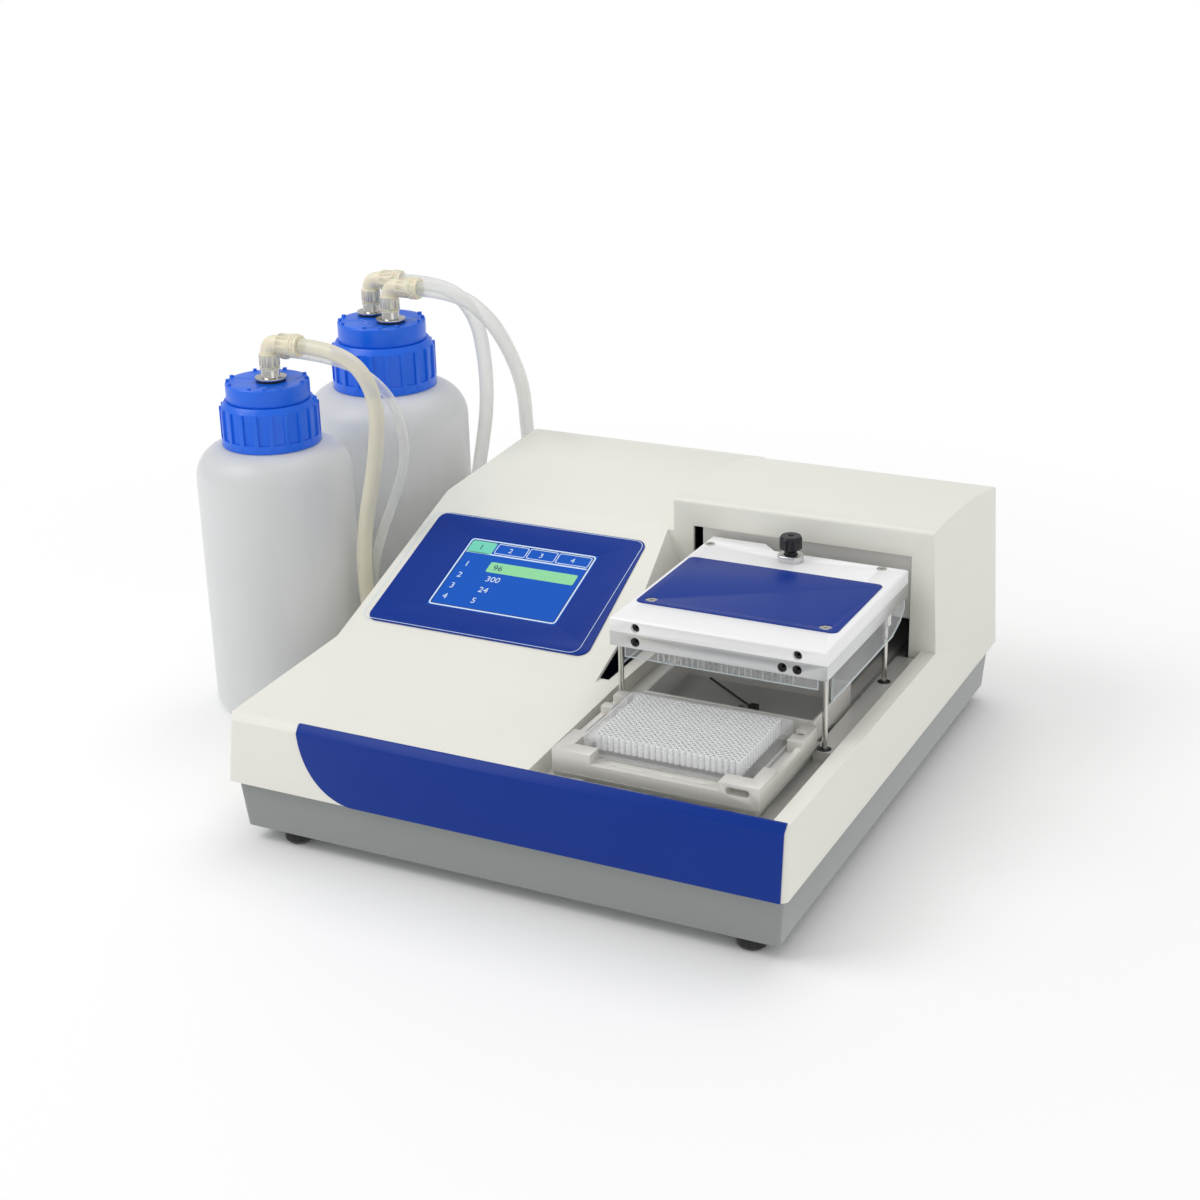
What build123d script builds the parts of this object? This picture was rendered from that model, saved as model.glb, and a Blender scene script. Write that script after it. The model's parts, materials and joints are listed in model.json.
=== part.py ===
from build123d import *
import math
import os

os.makedirs("parts", exist_ok=True)

# Body, in millimetres. X runs to the right along the front, Y to the back, Z up.
BODY_W = 440.0
BODY_D = 480.0
FOOT_H = 12.0
FOOT_R = 11.0
FOOT_PIN = 4.0
FOOT_LEFT = 44.0     # foot centres from the left side, the right side, front and back
FOOT_RIGHT = 33.0
FOOT_IN = 24.0
SEAM_Z = 50.0        # top of the grey base, foot of the cream shell
DECK_Z = 102.0       # front lip of the deck and the right arm
CONSOLE_Y = BODY_D - 158.0  # upper edge of the console
FOLD_Y = CONSOLE_Y - 172.0  # where the console rises from the deck
FOLD_Z = 108.0
CONSOLE_Z = 175.0
REAR_Z = 185.0
HOUSE_Y = BODY_D - 166.0  # front face of the housing
HOUSE_Z = 199.0
ROOF_DROP = 3.0      # fall of the housing roof at its middle
BROW = 4.0           # depth of the rounded brow above the opening
WALL = 3.0
CORNER_R = 5.0
SIDE_DRAFT = 2.5     # lean of the sides between seam and deck
FRONT_DRAFT = 6.0    # lean of the front between seam and deck
KNEE_SHARE = 0.92    # share of that lean below the bevel
BASE_INSET = 5.0
BASE_DRAFT = 3.0
LIP_H = 6.0          # base wall that stands inside the shell
EDGE_Y = 9.5         # back of the bevel on the front top edge
EDGE_Z = 4.5         # height of that bevel
FIT = 0.3            # gap between pieces that are set into each other
RUN = 0.05           # running gap of a slide or a bore
PAST = 20.0          # how far a cutting form runs past what it cuts

# Well plate of the standard footprint
COLS = 24
ROWS = 16
PITCH = 4.5
PLATE_L = COLS * PITCH + 19.76
PLATE_W = ROWS * PITCH + 13.48
PLATE_H = 14.35
PLATE_R = 3.0
WELL = PITCH - 1.0
WELL_DEEP = 11.5

# Bay and wash axis: the plate sets the width of carrier, head and bay
CARRIER_HALF = PLATE_L / 2 + 12.12
HEAD_HALF = CARRIER_HALF + 6.5
BAY_HALF = HEAD_HALF + 7.0
WASH_X = BODY_W - BAY_HALF - 14.5
BAY_FRONT = 13.0
BAY_WALL = 2.5
BAY_MARGIN = 6.0     # strip of deck between the bay and the console
CHASSIS_TOP = 88.0
CHASSIS_T = 3.0
STANDOFF_R = 5.0
LEDGE_Y = 130.5      # side ledges of the chassis, from behind the front posts
LEDGE_Z = 96.0
SIDE_LEAN = 0.42     # sideways lean of the console wall beside the bay
CONSOLE_FOOT_X = WASH_X - BAY_HALF - BAY_MARGIN
HOUSE_X = WASH_X - BAY_HALF - 27.5  # left face of the housing
OPEN_LEFT = WASH_X - BAY_HALF - 10.5
OPEN_RIGHT = WASH_X + BAY_HALF - 9.5
OPEN_TOP = 178.0
LINER_T = 2.0
BACK_T = 2.0

# Console: a flat frame whose Y runs up the slope from the fold
SLOPE = math.degrees(math.atan2(CONSOLE_Z - FOLD_Z, CONSOLE_Y - FOLD_Y))
SLOPE_L = math.hypot(CONSOLE_Z - FOLD_Z, CONSOLE_Y - FOLD_Y)
CONSOLE_PANEL_T = 1.0
PANEL_LEFT = 16.0
PANEL_FOOT_X = HOUSE_X - 8.0
PANEL_HEAD_X = HOUSE_X - 15.0
PANEL_S0 = 23.0
PANEL_S1 = SLOPE_L - 27.0
DISPLAY_X0 = 57.0
DISPLAY_X1 = HOUSE_X - 47.0
DISPLAY_S0 = 50.0
DISPLAY_S1 = SLOPE_L - 52.0
DISPLAY_T = 9.0
DISPLAY_RIM = 4.0    # flange of the display behind the wall
BAND_T = 1.2
BAND_LEFT = 61.5
BAND_RIGHT = BODY_W - 4.0

# Wash head, at rest (raised)
HEAD_D = 172.0
HEAD_GAP = 15.0      # between the head and the housing
HEAD_Y = HOUSE_Y - HEAD_GAP - HEAD_D
BLOCK_Z = 151.5
BLOCK_H = 11.0
COVER_Z = BLOCK_Z + BLOCK_H
COVER_H = 10.5
COVER_TOP = COVER_Z + COVER_H
TAB_W = 46.0         # tab at the rear left of the cover
TAB_D = 12.0
LABEL_T = 0.6
LABEL_Y0 = HEAD_Y + 33.0
LABEL_Y1 = HEAD_Y + HEAD_D - 38.0
HEAD_SCREW_R = 2.0
HEAD_SCREW_CAP = 3.8
KNOB_X = WASH_X - 6.0
KNOB_Y = HEAD_Y + HEAD_D - 15.0
KNOB_R = 8.6
KNOB_SHANK = 2.5
COLLAR_R = 10.0
COLLAR_H = 5.0
SOCKET_R = 3.4
SOCKET_DEEP = 8.0
SOCKET_COVER_Z = COVER_Z + 4.6
SOCKET_BLOCK_Z = BLOCK_Z + 5.0
FRONT_SCREW_X = (WASH_X - HEAD_HALF + 20.0, WASH_X + HEAD_HALF - 22.0)
BLOCK_SCREW_X = FRONT_SCREW_X + (FRONT_SCREW_X[1] - 11.0,)
POST_R = 2.0
POST_IN = 4.2        # post centre inside the side of the block
POST_SEAT = 8.0      # depth of the posts in the block
POST_Y1 = HEAD_Y + 9.0
POST_Y2 = HEAD_Y + HEAD_D - 37.0
POST_BUSH_R = 4.0
POST_BUSH_H = 9.0
BUSH_R = 5.0         # floor bushings
BUSH_RIM = 1.5
BUSH_FLANGE = 2.0
YOKE_T = 6.0
YOKE_Z = CHASSIS_TOP - CHASSIS_T - BUSH_FLANGE - 2.0 - YOKE_T
YOKE_REACH = 6.0     # yoke metal around a post
LEAD_R = 4.0
NUT_R = 7.0
NUT_H = 4.0
SCREW_Y = (POST_Y1 + POST_Y2) / 2
MOTOR_W = 42.0
MOTOR_H = 31.0
SHIELD_T = 1.0
SHIELD_IN = 0.9      # outer face of a side shield inside the side of the block
SHIELD_H = 21.0
SHIELD_FRONT_H = 10.0
SHIELD_FRONT_Y = HEAD_Y + 6.0

# Plate and stage
STAGE_TRAVEL = HEAD_Y - 30.0
CARRIER_Y = 22.0
CARRIER_D = PLATE_W + 19.52
STAGE_Z = 97.0
STAGE_T = 4.0
CARRIER_Z = STAGE_Z + STAGE_T
SEAT_Z = 108.0       # plate seat in the carrier
SILL_Z = 110.0
CARRIER_TOP = 117.0
PLATE_Y = 37.0
CLAMP_X = WASH_X + CARRIER_HALF - 5.5
CLAMP_Y = CARRIER_Y + CARRIER_D - 15.0
CLAMP_R = 3.0
CLAMP_W = 1.4
CLAMP_SWING = 1.6    # room for the lever on each side of it
TUBE_ROWS = 8
TUBE_W = 1.3
TUBE_TIP = 137.0
MANIFOLD_Z = 147.0
MANIFOLD_MARGIN = 7.0
MANIFOLD_SEAT = 3.0
TROUGH_X0 = WASH_X - COLS * PITCH / 2 - 6.0
TROUGH_X1 = WASH_X + COLS * PITCH / 2 + 16.0
TROUGH_Y = CARRIER_Y + CARRIER_D + 9.0
TROUGH_D = TUBE_ROWS * 2 * PITCH + 4.0
TROUGH_WALL = 2.0
TROUGH_TOP = 115.5
DRAIN_R = 3.0
PROBE_TURN = 37.0    # the probe turns back from the left
PROBE_L = (TROUGH_D / 2 - 1) / math.sin(math.radians(PROBE_TURN))
RAIL_X = CARRIER_HALF - 15.0  # rails left and right of the wash axis
RAIL_W = 9.0
RAIL_H = 4.5
RAIL_END = BODY_D - 60.0
RUNNER_L = 24.0
RUNNER_WALL = 4.0
PULLEY_R = 7.0
PULLEY_Y1 = 34.0
PULLEY_Y2 = HOUSE_Y + 24.0
SHAFT_R = 2.5
BELT_T = 1.2
BELT_H = 5.0
BELT_Z = CHASSIS_TOP + 2.5
BELT_CLAMP_Y = 84.0
BELT_CLAMP_L = 16.0

# Bottles
BOTTLE_X = -110.0
BOTTLE_Y = BODY_D - 240.0
BOTTLE_R = 64.0
BOTTLE_H = 229.0     # foot of the cap ring on the front bottle
BOTTLE_WALL = 2.0
NECK_R = 33.0
NECK_H = 20.0
REAR_X = -100.0
REAR_Y = BODY_D - 80.0
REAR_SCALE = 1.125   # the rear bottle is the next size up
REAR_H = 237.0
RING_R = 40.6
RING_RIBS = 20
INSERT_R = 34.2
CAP_H = 51.5         # top of the insert above the foot of the ring
STEM_R = 5.5
STEM_BORE = 3.2
SEAL_T = 2.0
WASHER_R = 13.0
WASHER_T = 1.6
NUT_TOP = 9.5        # top of the fitting nut above the insert
STEM_TOP = 12.5
FRONT_STEM = (BOTTLE_X + 4.0, BOTTLE_Y)
VENT_STEM = (BOTTLE_X - 9.0, BOTTLE_Y + 19.0)
REAR_STEM_1 = (REAR_X - 17.0, REAR_Y + 12.0)
REAR_STEM_2 = (REAR_X + 13.0, REAR_Y - 5.0)
FRONT_TOP = BOTTLE_H + CAP_H
REAR_TOP = REAR_H + CAP_H * REAR_SCALE
ELBOW_R = 7.0
ELBOW_Z = 31.5       # outlet centre above the top of the insert
ELBOW_OUT = 31.0     # outlet face from the stem axis
KNEE_R = 8.0
REAR_YAW = 8.0       # the rear outlet is turned past its neighbour
VENT_SCALE = 0.6

# Rear panel
PANEL_X = 30.0
PANEL_W = 215.0
PANEL_Z = 60.0
PANEL_H = 58.0
PANEL_T = 1.5
PANEL_RIM = 8.0
SCREW_R = 1.5
PANEL_Y = BODY_D + PANEL_T
PORT_Z = PANEL_Z + PANEL_H / 2
BARB_X = PANEL_X + 25.0
BARB_STEP = 30.0
BARB_COUNT = 4
BARB_L = 17.0
BARB_R = 4.0
SERIAL_X = BARB_X + 3 * BARB_STEP + 24.0
SERIAL_HALF = 8.0
SERIAL_H = 5.0
INLET_X = SERIAL_X + 28.0
INLET_HALF = 12.0
INLET_H = 9.0
SWITCH_X = INLET_X + 25.0
SWITCH_HALF = 7.0
SWITCH_H = 10.0
SWITCH_WALL = 0.8
SWITCH_TILT = 8.0    # lean of the rocker at rest, off
SWITCH_PIN = 5.0     # cross pin behind the face of the panel
HOSE_D = 12.7
VENT_D = 8.0

# The shared frame has its origin under the middle of the whole set
ORIGIN_X = (BODY_W + BOTTLE_X - BOTTLE_R) / 2
ORIGIN_Y = (PANEL_Y + BARB_L - BAND_T) / 2

PIECES = {}


def keep(name, shape):
    PIECES[name] = shape


def box(x0, x1, y0, y1, z0, z1):
    middle = Pos((x0 + x1) / 2, (y0 + y1) / 2, (z0 + z1) / 2)
    return middle * Box(x1 - x0, y1 - y0, z1 - z0)


def rod(x, y, z0, z1, radius):
    return Pos(x, y, (z0 + z1) / 2) * Cylinder(radius, z1 - z0)


def rod_y(x, y0, y1, z, radius):
    return Pos(x, (y0 + y1) / 2, z) * Rot(90, 0, 0) * Cylinder(radius, y1 - y0)


def across(points, x0, x1):
    """Prism of an outline in the YZ plane, from x0 to x1."""
    face = make_face(Polyline(*points, close=True))
    return extrude(Plane.YZ.offset(x0) * face, amount=x1 - x0)


def turned(points):
    """Body of revolution of an outline in radius and height."""
    return revolve(Plane.XZ * make_face(Polyline(*points, close=True)), Axis.Z)


def leaning_block(z0, z1, foot, head, radius):
    """Block between two rectangles (left, right, front, back), with rounded upright edges."""
    side = across([(foot[2], z0), (foot[3], z0), (head[3], z1), (head[2], z1)], -PAST, BODY_W + PAST)
    outline = Polyline((foot[0], z0), (foot[1], z0), (head[1], z1), (head[0], z1), close=True)
    block = side & extrude(Plane.XZ * make_face(outline), amount=-(BODY_D + PAST))
    upright = block.edges().filter_by(lambda edge: abs((edge @ 1 - edge @ 0).Z) > (z1 - z0) / 2)
    return fillet(upright, radius)


def drafted(z0, z1, inset):
    """Block with the lean of the shell walls."""
    sides = []
    for z in (z0, z1):
        lean = (z - SEAM_Z) / (DECK_Z - SEAM_Z)
        x = SIDE_DRAFT * lean + inset
        sides.append((x, BODY_W - x, FRONT_DRAFT * lean + inset, BODY_D - inset))
    return leaning_block(z0, z1, *sides, max(CORNER_R - inset, 1))


def deck_line(t):
    """Side outline of deck, console and rear top, lowered by t."""
    knee = (FRONT_DRAFT * KNEE_SHARE + t, DECK_Z - EDGE_Z - t * 0.4)
    return [(-PAST, SEAM_Z - PAST), (-PAST, knee[1]), knee, (EDGE_Y + t * 0.4, DECK_Z - t),
            (FOLD_Y + t * 0.2, FOLD_Z - t), (CONSOLE_Y, CONSOLE_Z - t * 1.07), (BODY_D - 6, REAR_Z - t),
            (BODY_D + PAST, REAR_Z - t), (BODY_D + PAST, SEAM_Z - PAST)]


def console_part(t):
    """Deck and console, with the wall that leans away from the bay."""
    low = SEAM_Z - PAST
    lean_x = CONSOLE_FOOT_X - SIDE_LEAN * (HOUSE_Z - FOLD_Z)
    outline = Polyline((-PAST, low), (WASH_X, low), (WASH_X, FOLD_Z - t), (CONSOLE_FOOT_X - t, FOLD_Z - t),
                       (lean_x - t, HOUSE_Z), (-PAST, HOUSE_Z), close=True)
    front = extrude(Plane.XZ * make_face(outline), amount=-(BODY_D + PAST))
    narrow = across(deck_line(t), -PAST, HOUSE_X + 10)
    wide = across(deck_line(t), HOUSE_X, WASH_X) & box(HOUSE_X, WASH_X, -PAST, HOUSE_Y, 0, FOLD_Z)
    rear = narrow & box(-PAST, HOUSE_X + 10, HOUSE_Y + t, BODY_D + PAST, 0, HOUSE_Z)
    return ((narrow + wide) & front) + rear


def housing_part(t):
    """Housing on the right, with a curved roof and a rounded brow above the opening."""
    brow_y = HOUSE_Y + t
    tail = (BODY_D - 4, REAR_Z - t)
    roof = ThreePointArc((brow_y + BROW, HOUSE_Z - t), (HOUSE_Y + 92, HOUSE_Z - ROOF_DROP - t), tail)
    brow = ThreePointArc((brow_y, HOUSE_Z - ROOF_DROP - t), (brow_y + 1, HOUSE_Z - 0.8 - t), roof @ 0)
    low = SEAM_Z - PAST
    rest = Polyline(tail, (BODY_D + PAST, tail[1] - 6), (BODY_D + PAST, low), (brow_y, low), brow @ 0)
    return extrude(Plane.YZ.offset(HOUSE_X + t) * make_face(brow + roof + rest), amount=BODY_W)


def body_solid(t):
    """Outer form of the upper shell, drawn in by t."""
    low = SEAM_Z - (10 if t else 0)
    knee = (FRONT_DRAFT * KNEE_SHARE + t, DECK_Z - EDGE_Z - t * 0.4)
    arm = [(-PAST, low), (-PAST, knee[1]), knee, (EDGE_Y + t * 0.4, DECK_Z - t),
           (BODY_D + PAST, DECK_Z - t), (BODY_D + PAST, low)]
    form = across(arm, -PAST, BODY_W + PAST) + console_part(t) + housing_part(t)
    return form & drafted(low, HOUSE_Z + 10, t)


def bay_box(grow, z0, z1, y1):
    half = BAY_HALF + grow
    return box(WASH_X - half, WASH_X + half, BAY_FRONT - grow, y1, z0, z1)


def upper_shell():
    outer = body_solid(0)
    hollow = body_solid(WALL) - bay_box(BAY_WALL, CHASSIS_TOP, FOLD_Z, HOUSE_Y + WALL)
    rim = drafted(SEAM_Z, SEAM_Z + LIP_H, 0) - base_block(0, SEAM_Z, SEAM_Z + LIP_H + 1)
    shell = outer - hollow + rim
    shell -= bay_box(0, SEAM_Z - 5, FOLD_Z + 5, HOUSE_Y - 0.01)
    shell -= box(OPEN_LEFT, OPEN_RIGHT, HOUSE_Y - 5, HOUSE_Y + WALL + 1, CHASSIS_TOP - 1, OPEN_TOP)
    shell -= on_console(display_box(FIT, -PAST, PAST))
    x0 = PANEL_X + PANEL_RIM
    x1 = PANEL_X + PANEL_W - PANEL_RIM
    z0 = PANEL_Z + PANEL_RIM
    window = box(x0, x1, BODY_D - PAST, BODY_D + PAST, z0, PANEL_Z + PANEL_H - PANEL_RIM)
    bores = [rod_y(x, BODY_D - PAST, BODY_D + PAST, z, SCREW_R + FIT) for x, z in panel_screw_places()]
    return shell - [window, *bores]


def on_console(shape):
    return Pos(0, FOLD_Y, FOLD_Z) * Rot(SLOPE, 0, 0) * shape


def display_box(grow, z0, z1):
    return box(DISPLAY_X0 - grow, DISPLAY_X1 + grow, DISPLAY_S0 - grow, DISPLAY_S1 + grow, z0, z1)


def panel_screw_places():
    inset = PANEL_RIM / 2
    for x in (PANEL_X + inset, PANEL_X + PANEL_W - inset):
        for z in (PANEL_Z + inset, PANEL_Z + PANEL_H - inset):
            yield x, z


def base_block(t, z0, z1):
    """Base outline, drawn in by t, straight above the seam and drafted below it."""
    sides = []
    for z in (z0, z1):
        inset = BASE_INSET + t + BASE_DRAFT * max(SEAM_Z - z, 0) / (SEAM_Z - FOOT_H)
        sides.append((inset, BODY_W - inset, inset, BODY_D - inset))
    return leaning_block(z0, z1, *sides, CORNER_R)


def base_pan():
    floor_z = FOOT_H + WALL
    pan = base_block(0, FOOT_H, SEAM_Z) - base_block(WALL, floor_z, SEAM_Z)
    lip = base_block(0, SEAM_Z, SEAM_Z + LIP_H) - base_block(WALL, SEAM_Z, SEAM_Z + LIP_H)
    pan += lip
    for x, y in foot_places():
        pan -= rod(x, y, 0, floor_z + 5, FOOT_PIN + RUN)
    return pan


def foot_places():
    for x in (FOOT_LEFT, BODY_W - FOOT_RIGHT):
        for y in (FOOT_IN, BODY_D - FOOT_IN):
            yield x, y


def rubber_feet():
    pin_z = FOOT_H + WALL + 2
    profile = [(0, 0), (FOOT_R - 1.5, 0), (FOOT_R, 2), (FOOT_R, FOOT_H - 3), (FOOT_R - 2, FOOT_H),
               (FOOT_PIN, FOOT_H), (FOOT_PIN, pin_z), (0, pin_z)]
    return [Pos(x, y, 0) * turned(profile) for x, y in foot_places()]


def front_band():
    """Thin band on the leaning front that wraps over the bevel of the top edge."""
    slope = FRONT_DRAFT / (DECK_Z - SEAM_Z)
    knee_z = DECK_Z - EDGE_Z
    knee_y = slope * (knee_z - SEAM_Z)
    back = EDGE_Y + 1.5
    knee = (FRONT_DRAFT * KNEE_SHARE, knee_z)
    inner = [(0, SEAM_Z), (knee_y, knee_z), knee, (EDGE_Y, DECK_Z), (back, DECK_Z)]
    outer = [(back, DECK_Z + BAND_T), (EDGE_Y - 0.5, DECK_Z + BAND_T), (knee_y - BAND_T, knee_z + 0.4),
             (-BAND_T, SEAM_Z)]
    strip = across(inner + outer, 0, BODY_W)
    top = DECK_Z + 10
    foot = (BAND_LEFT + 46, SEAM_Z)
    curve = Spline((BAND_LEFT, DECK_Z - 1), (BAND_LEFT + 6, DECK_Z - 23), (BAND_LEFT + 17, SEAM_Z + 13.5),
                   (BAND_LEFT + 28, SEAM_Z + 5.5), foot)
    edge = Polyline(foot, (BAND_RIGHT, SEAM_Z), (BAND_RIGHT, top), (BAND_LEFT, top), (BAND_LEFT, DECK_Z - 1))
    outline = extrude(Plane.XZ * make_face(curve + edge), amount=-2 * PAST, both=True)
    return (strip & outline) - body_solid(0)


def console_panel():
    outline = Polyline((PANEL_LEFT, PANEL_S0), (PANEL_FOOT_X, PANEL_S0), (PANEL_HEAD_X, PANEL_S1),
                       (PANEL_LEFT, PANEL_S1), close=True)
    face = make_face(outline)
    plate = extrude(fillet(face.vertices(), 9), amount=CONSOLE_PANEL_T)
    return on_console(plate - display_box(FIT, -PAST, PAST))


def display_screen():
    """Display module: glass front set in the console, with a rear flange that clips behind the wall."""
    front = display_box(0, -DISPLAY_T, CONSOLE_PANEL_T - 0.4)
    return on_console(front + display_box(DISPLAY_RIM, -DISPLAY_T, -WALL - FIT))


def chassis_plate():
    x1 = WASH_X + BAY_HALF + BAY_WALL
    low = CHASSIS_TOP - CHASSIS_T
    plate = box(HOUSE_X - 4, x1, BAY_FRONT - BAY_WALL, BODY_D - 30, low, CHASSIS_TOP)
    for side in (-1, 1):
        inner = WASH_X + side * (HEAD_HALF - POST_IN - BUSH_R - 1.5)
        outer = WASH_X + side * BAY_HALF
        plate += box(min(inner, outer), max(inner, outer), LEDGE_Y, HOUSE_Y - 2, CHASSIS_TOP - 1, LEDGE_Z)
    cuts = [(x, y, BUSH_R) for x, y in post_places()]
    cuts += [(WASH_X, PULLEY_Y2, SHAFT_R + 1), (WASH_X, PULLEY_Y1, SHAFT_R), (WASH_X, SCREW_Y, LEAD_R + RUN)]
    for x, y, radius in cuts:
        plate -= rod(x, y, low - 1, LEDGE_Z + 1, radius)
    return plate


def post_places():
    for side in (-1, 1):
        for y in (POST_Y1, POST_Y2):
            yield WASH_X + side * (HEAD_HALF - POST_IN), y


def chassis_standoffs():
    z0 = FOOT_H + WALL
    z1 = CHASSIS_TOP - CHASSIS_T
    places = [(x, y) for x in (HOUSE_X + 8, WASH_X + BAY_HALF - 12) for y in (40, HOUSE_Y - 10, BODY_D - 50)]
    return [rod(x, y, z0, z1, STANDOFF_R) for x, y in places]


def bay_liner():
    """Dark hood behind the housing opening, open at the front and below."""
    x0 = OPEN_LEFT - 4
    x1 = WASH_X + BAY_HALF + BAY_WALL
    y0 = HOUSE_Y + WALL + BACK_T
    y1 = BODY_D - 40
    z1 = REAR_Z - 6
    inner = box(x0 + LINER_T, x1 - LINER_T, y0 - 1, y1 - LINER_T, CHASSIS_TOP - 1, z1 - LINER_T)
    return box(x0, x1, y0, y1, CHASSIS_TOP, z1) - inner


def head_backplate():
    """Steel plate behind the head, clear of the plate and trough that pass below it."""
    y0 = HOUSE_Y + WALL
    return box(OPEN_LEFT + 7, OPEN_RIGHT + 6, y0, y0 + BACK_T, SEAT_Z + PLATE_H + 4, OPEN_TOP + 3)


def head_outline(tab):
    """Outline of the head, with or without the tab at its rear left corner."""
    x0 = WASH_X - HEAD_HALF
    x1 = WASH_X + HEAD_HALF
    y1 = HEAD_Y + HEAD_D
    corner = x0 + TAB_W
    rear = [(corner + TAB_D, y1), (corner, y1 + TAB_D), (x0, y1 + TAB_D)] if tab else [(x0, y1)]
    return make_face(Polyline((x0, HEAD_Y), (x1, HEAD_Y), (x1, y1), *rear, close=True))


def head_cover():
    cover = extrude(Pos(0, 0, COVER_Z) * head_outline(True), amount=COVER_H)
    cover = chamfer(cover.faces().sort_by(Axis.Z)[-1].edges(), 1.2)
    for x, y in head_screw_places():
        cover -= rod(x, y, COVER_Z - 1, COVER_TOP + 1, HEAD_SCREW_R + RUN)
        cover -= rod(x, y, COVER_TOP - 3, COVER_TOP + 1, HEAD_SCREW_CAP + RUN)
    cover -= rod(KNOB_X, KNOB_Y, COVER_Z - 1, COVER_TOP + 1, KNOB_SHANK + RUN)
    for x in FRONT_SCREW_X:
        cover -= rod_y(x, HEAD_Y - 1, HEAD_Y + SOCKET_DEEP, SOCKET_COVER_Z, SOCKET_R + RUN)
    return cover


def head_screw_places():
    yield WASH_X - HEAD_HALF + 6, HEAD_Y + HEAD_D - 6
    yield WASH_X + HEAD_HALF - 19, HEAD_Y + HEAD_D - 6
    yield WASH_X - HEAD_HALF + 14, HEAD_Y + 41
    yield WASH_X + HEAD_HALF - 17, HEAD_Y + 41


def head_label():
    x0 = WASH_X - HEAD_HALF + 4
    x1 = WASH_X + HEAD_HALF - 6
    outline = Polyline((x0, LABEL_Y0), (x1, LABEL_Y0), (x1, LABEL_Y1), (x0, LABEL_Y1), close=True)
    face = make_face(outline)
    label = extrude(Pos(0, 0, COVER_TOP) * fillet(face.vertices(), 5), amount=LABEL_T)
    for x, y in head_screw_places():
        label -= rod(x, y, COVER_TOP - 1, COVER_TOP + 2, HEAD_SCREW_CAP + 2 * FIT)
    return label


def head_screws():
    """Button screws in counterbores of the cover, the front two in openings of the label."""
    screws = []
    for x, y in head_screw_places():
        screw = rod(x, y, COVER_Z - 6, COVER_TOP - 3, HEAD_SCREW_R)
        screw += rod(x, y, COVER_TOP - 3, COVER_TOP + 0.4, HEAD_SCREW_CAP)
        screws.append(screw - Pos(x, y, COVER_TOP - 0.9) * extrude(RegularPolygon(1.6, 6), amount=2))
    return screws


def front_sockets():
    """Socket screws deep in the front of cover and block."""
    screws = []
    rows = [(x, SOCKET_COVER_Z) for x in FRONT_SCREW_X] + [(x, SOCKET_BLOCK_Z) for x in BLOCK_SCREW_X]
    for x, z in rows:
        head = rod_y(x, HEAD_Y + 3, HEAD_Y + SOCKET_DEEP, z, SOCKET_R)
        hexagon = extrude(Plane.XZ * RegularPolygon(1.5, 6), amount=5)
        screws.append(head - Pos(x, HEAD_Y + 5.5, z) * hexagon)
    return screws


def head_block():
    block = extrude(Pos(0, 0, BLOCK_Z) * head_outline(False), amount=BLOCK_H)
    block -= manifold_body(FIT)
    for x, y in post_places():
        block -= rod(x, y, BLOCK_Z - 1, BLOCK_Z + POST_SEAT, POST_R)
    for x, y in head_screw_places():
        block -= rod(x, y, COVER_Z - 6, COVER_Z + 1, HEAD_SCREW_R)
    block -= rod(KNOB_X, KNOB_Y, COVER_Z - 7, COVER_Z + 1, KNOB_SHANK + RUN)
    for x in BLOCK_SCREW_X:
        block -= rod_y(x, HEAD_Y - 1, HEAD_Y + SOCKET_DEEP, SOCKET_BLOCK_Z, SOCKET_R + RUN)
    return block


def tube_x(i):
    return WASH_X + (i - (COLS - 1) / 2) * PITCH


def tube_y(j):
    middle = PLATE_Y + PLATE_W / 2 + STAGE_TRAVEL
    return middle - PITCH / 2 + (j - (TUBE_ROWS - 1) / 2) * 2 * PITCH


def manifold_body(grow):
    half = COLS * PITCH / 2 + 4 + grow
    y0 = tube_y(0) - MANIFOLD_MARGIN - grow
    y1 = tube_y(TUBE_ROWS - 1) + MANIFOLD_MARGIN + grow
    top = BLOCK_Z + MANIFOLD_SEAT
    return box(WASH_X - half, WASH_X + half, y0, y1, MANIFOLD_Z - grow, top)


def tube_manifold():
    """Manifold plate set into the block, with one wash tube for each column in every second row."""
    plate = manifold_body(0)
    places = [(tube_x(i), tube_y(j)) for i in range(COLS) for j in range(TUBE_ROWS)]
    square = Rectangle(TUBE_W, TUBE_W)
    tubes = Sketch() + [Pos(x, y, MANIFOLD_Z) * square for x, y in places]
    return plate + extrude(tubes, amount=TUBE_TIP - MANIFOLD_Z)


def thumb_collar():
    collar = rod(KNOB_X, KNOB_Y, COVER_TOP, COVER_TOP + COLLAR_H, COLLAR_R)
    flat = KNOB_Y - COLLAR_R * 0.82
    collar -= box(KNOB_X - PAST, KNOB_X + PAST, KNOB_Y - PAST, flat, COVER_TOP - 1, COVER_TOP + COLLAR_H + 1)
    collar = chamfer(collar.faces().sort_by(Axis.Z)[-1].edges(), 0.6)
    return collar - rod(KNOB_X, KNOB_Y, COVER_TOP - 1, COVER_TOP + COLLAR_H + 1, COLLAR_R * 0.55)


def thumb_screw():
    """Knurled knob on a waist, with its shank in the cover and the block."""
    z = COVER_TOP
    low = COVER_Z - 6
    r = KNOB_R
    profile = [(0, low), (KNOB_SHANK, low), (KNOB_SHANK, z + 1), (r - 3.6, z + 1), (r - 4, z + 7),
               (r - 2.6, z + 9), (r, z + 10), (r, z + 18), (r - 1.2, z + 20), (KNOB_SHANK, z + 20),
               (2, z + 19), (0, z + 19)]
    knob = Pos(KNOB_X, KNOB_Y, 0) * turned(profile)
    grips = 12
    for k in range(grips):
        a = 2 * math.pi * k / grips
        knob -= rod(KNOB_X + (r + 0.6) * math.cos(a), KNOB_Y + (r + 0.6) * math.sin(a), z + 9, z + 21, 1.1)
    return knob


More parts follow.
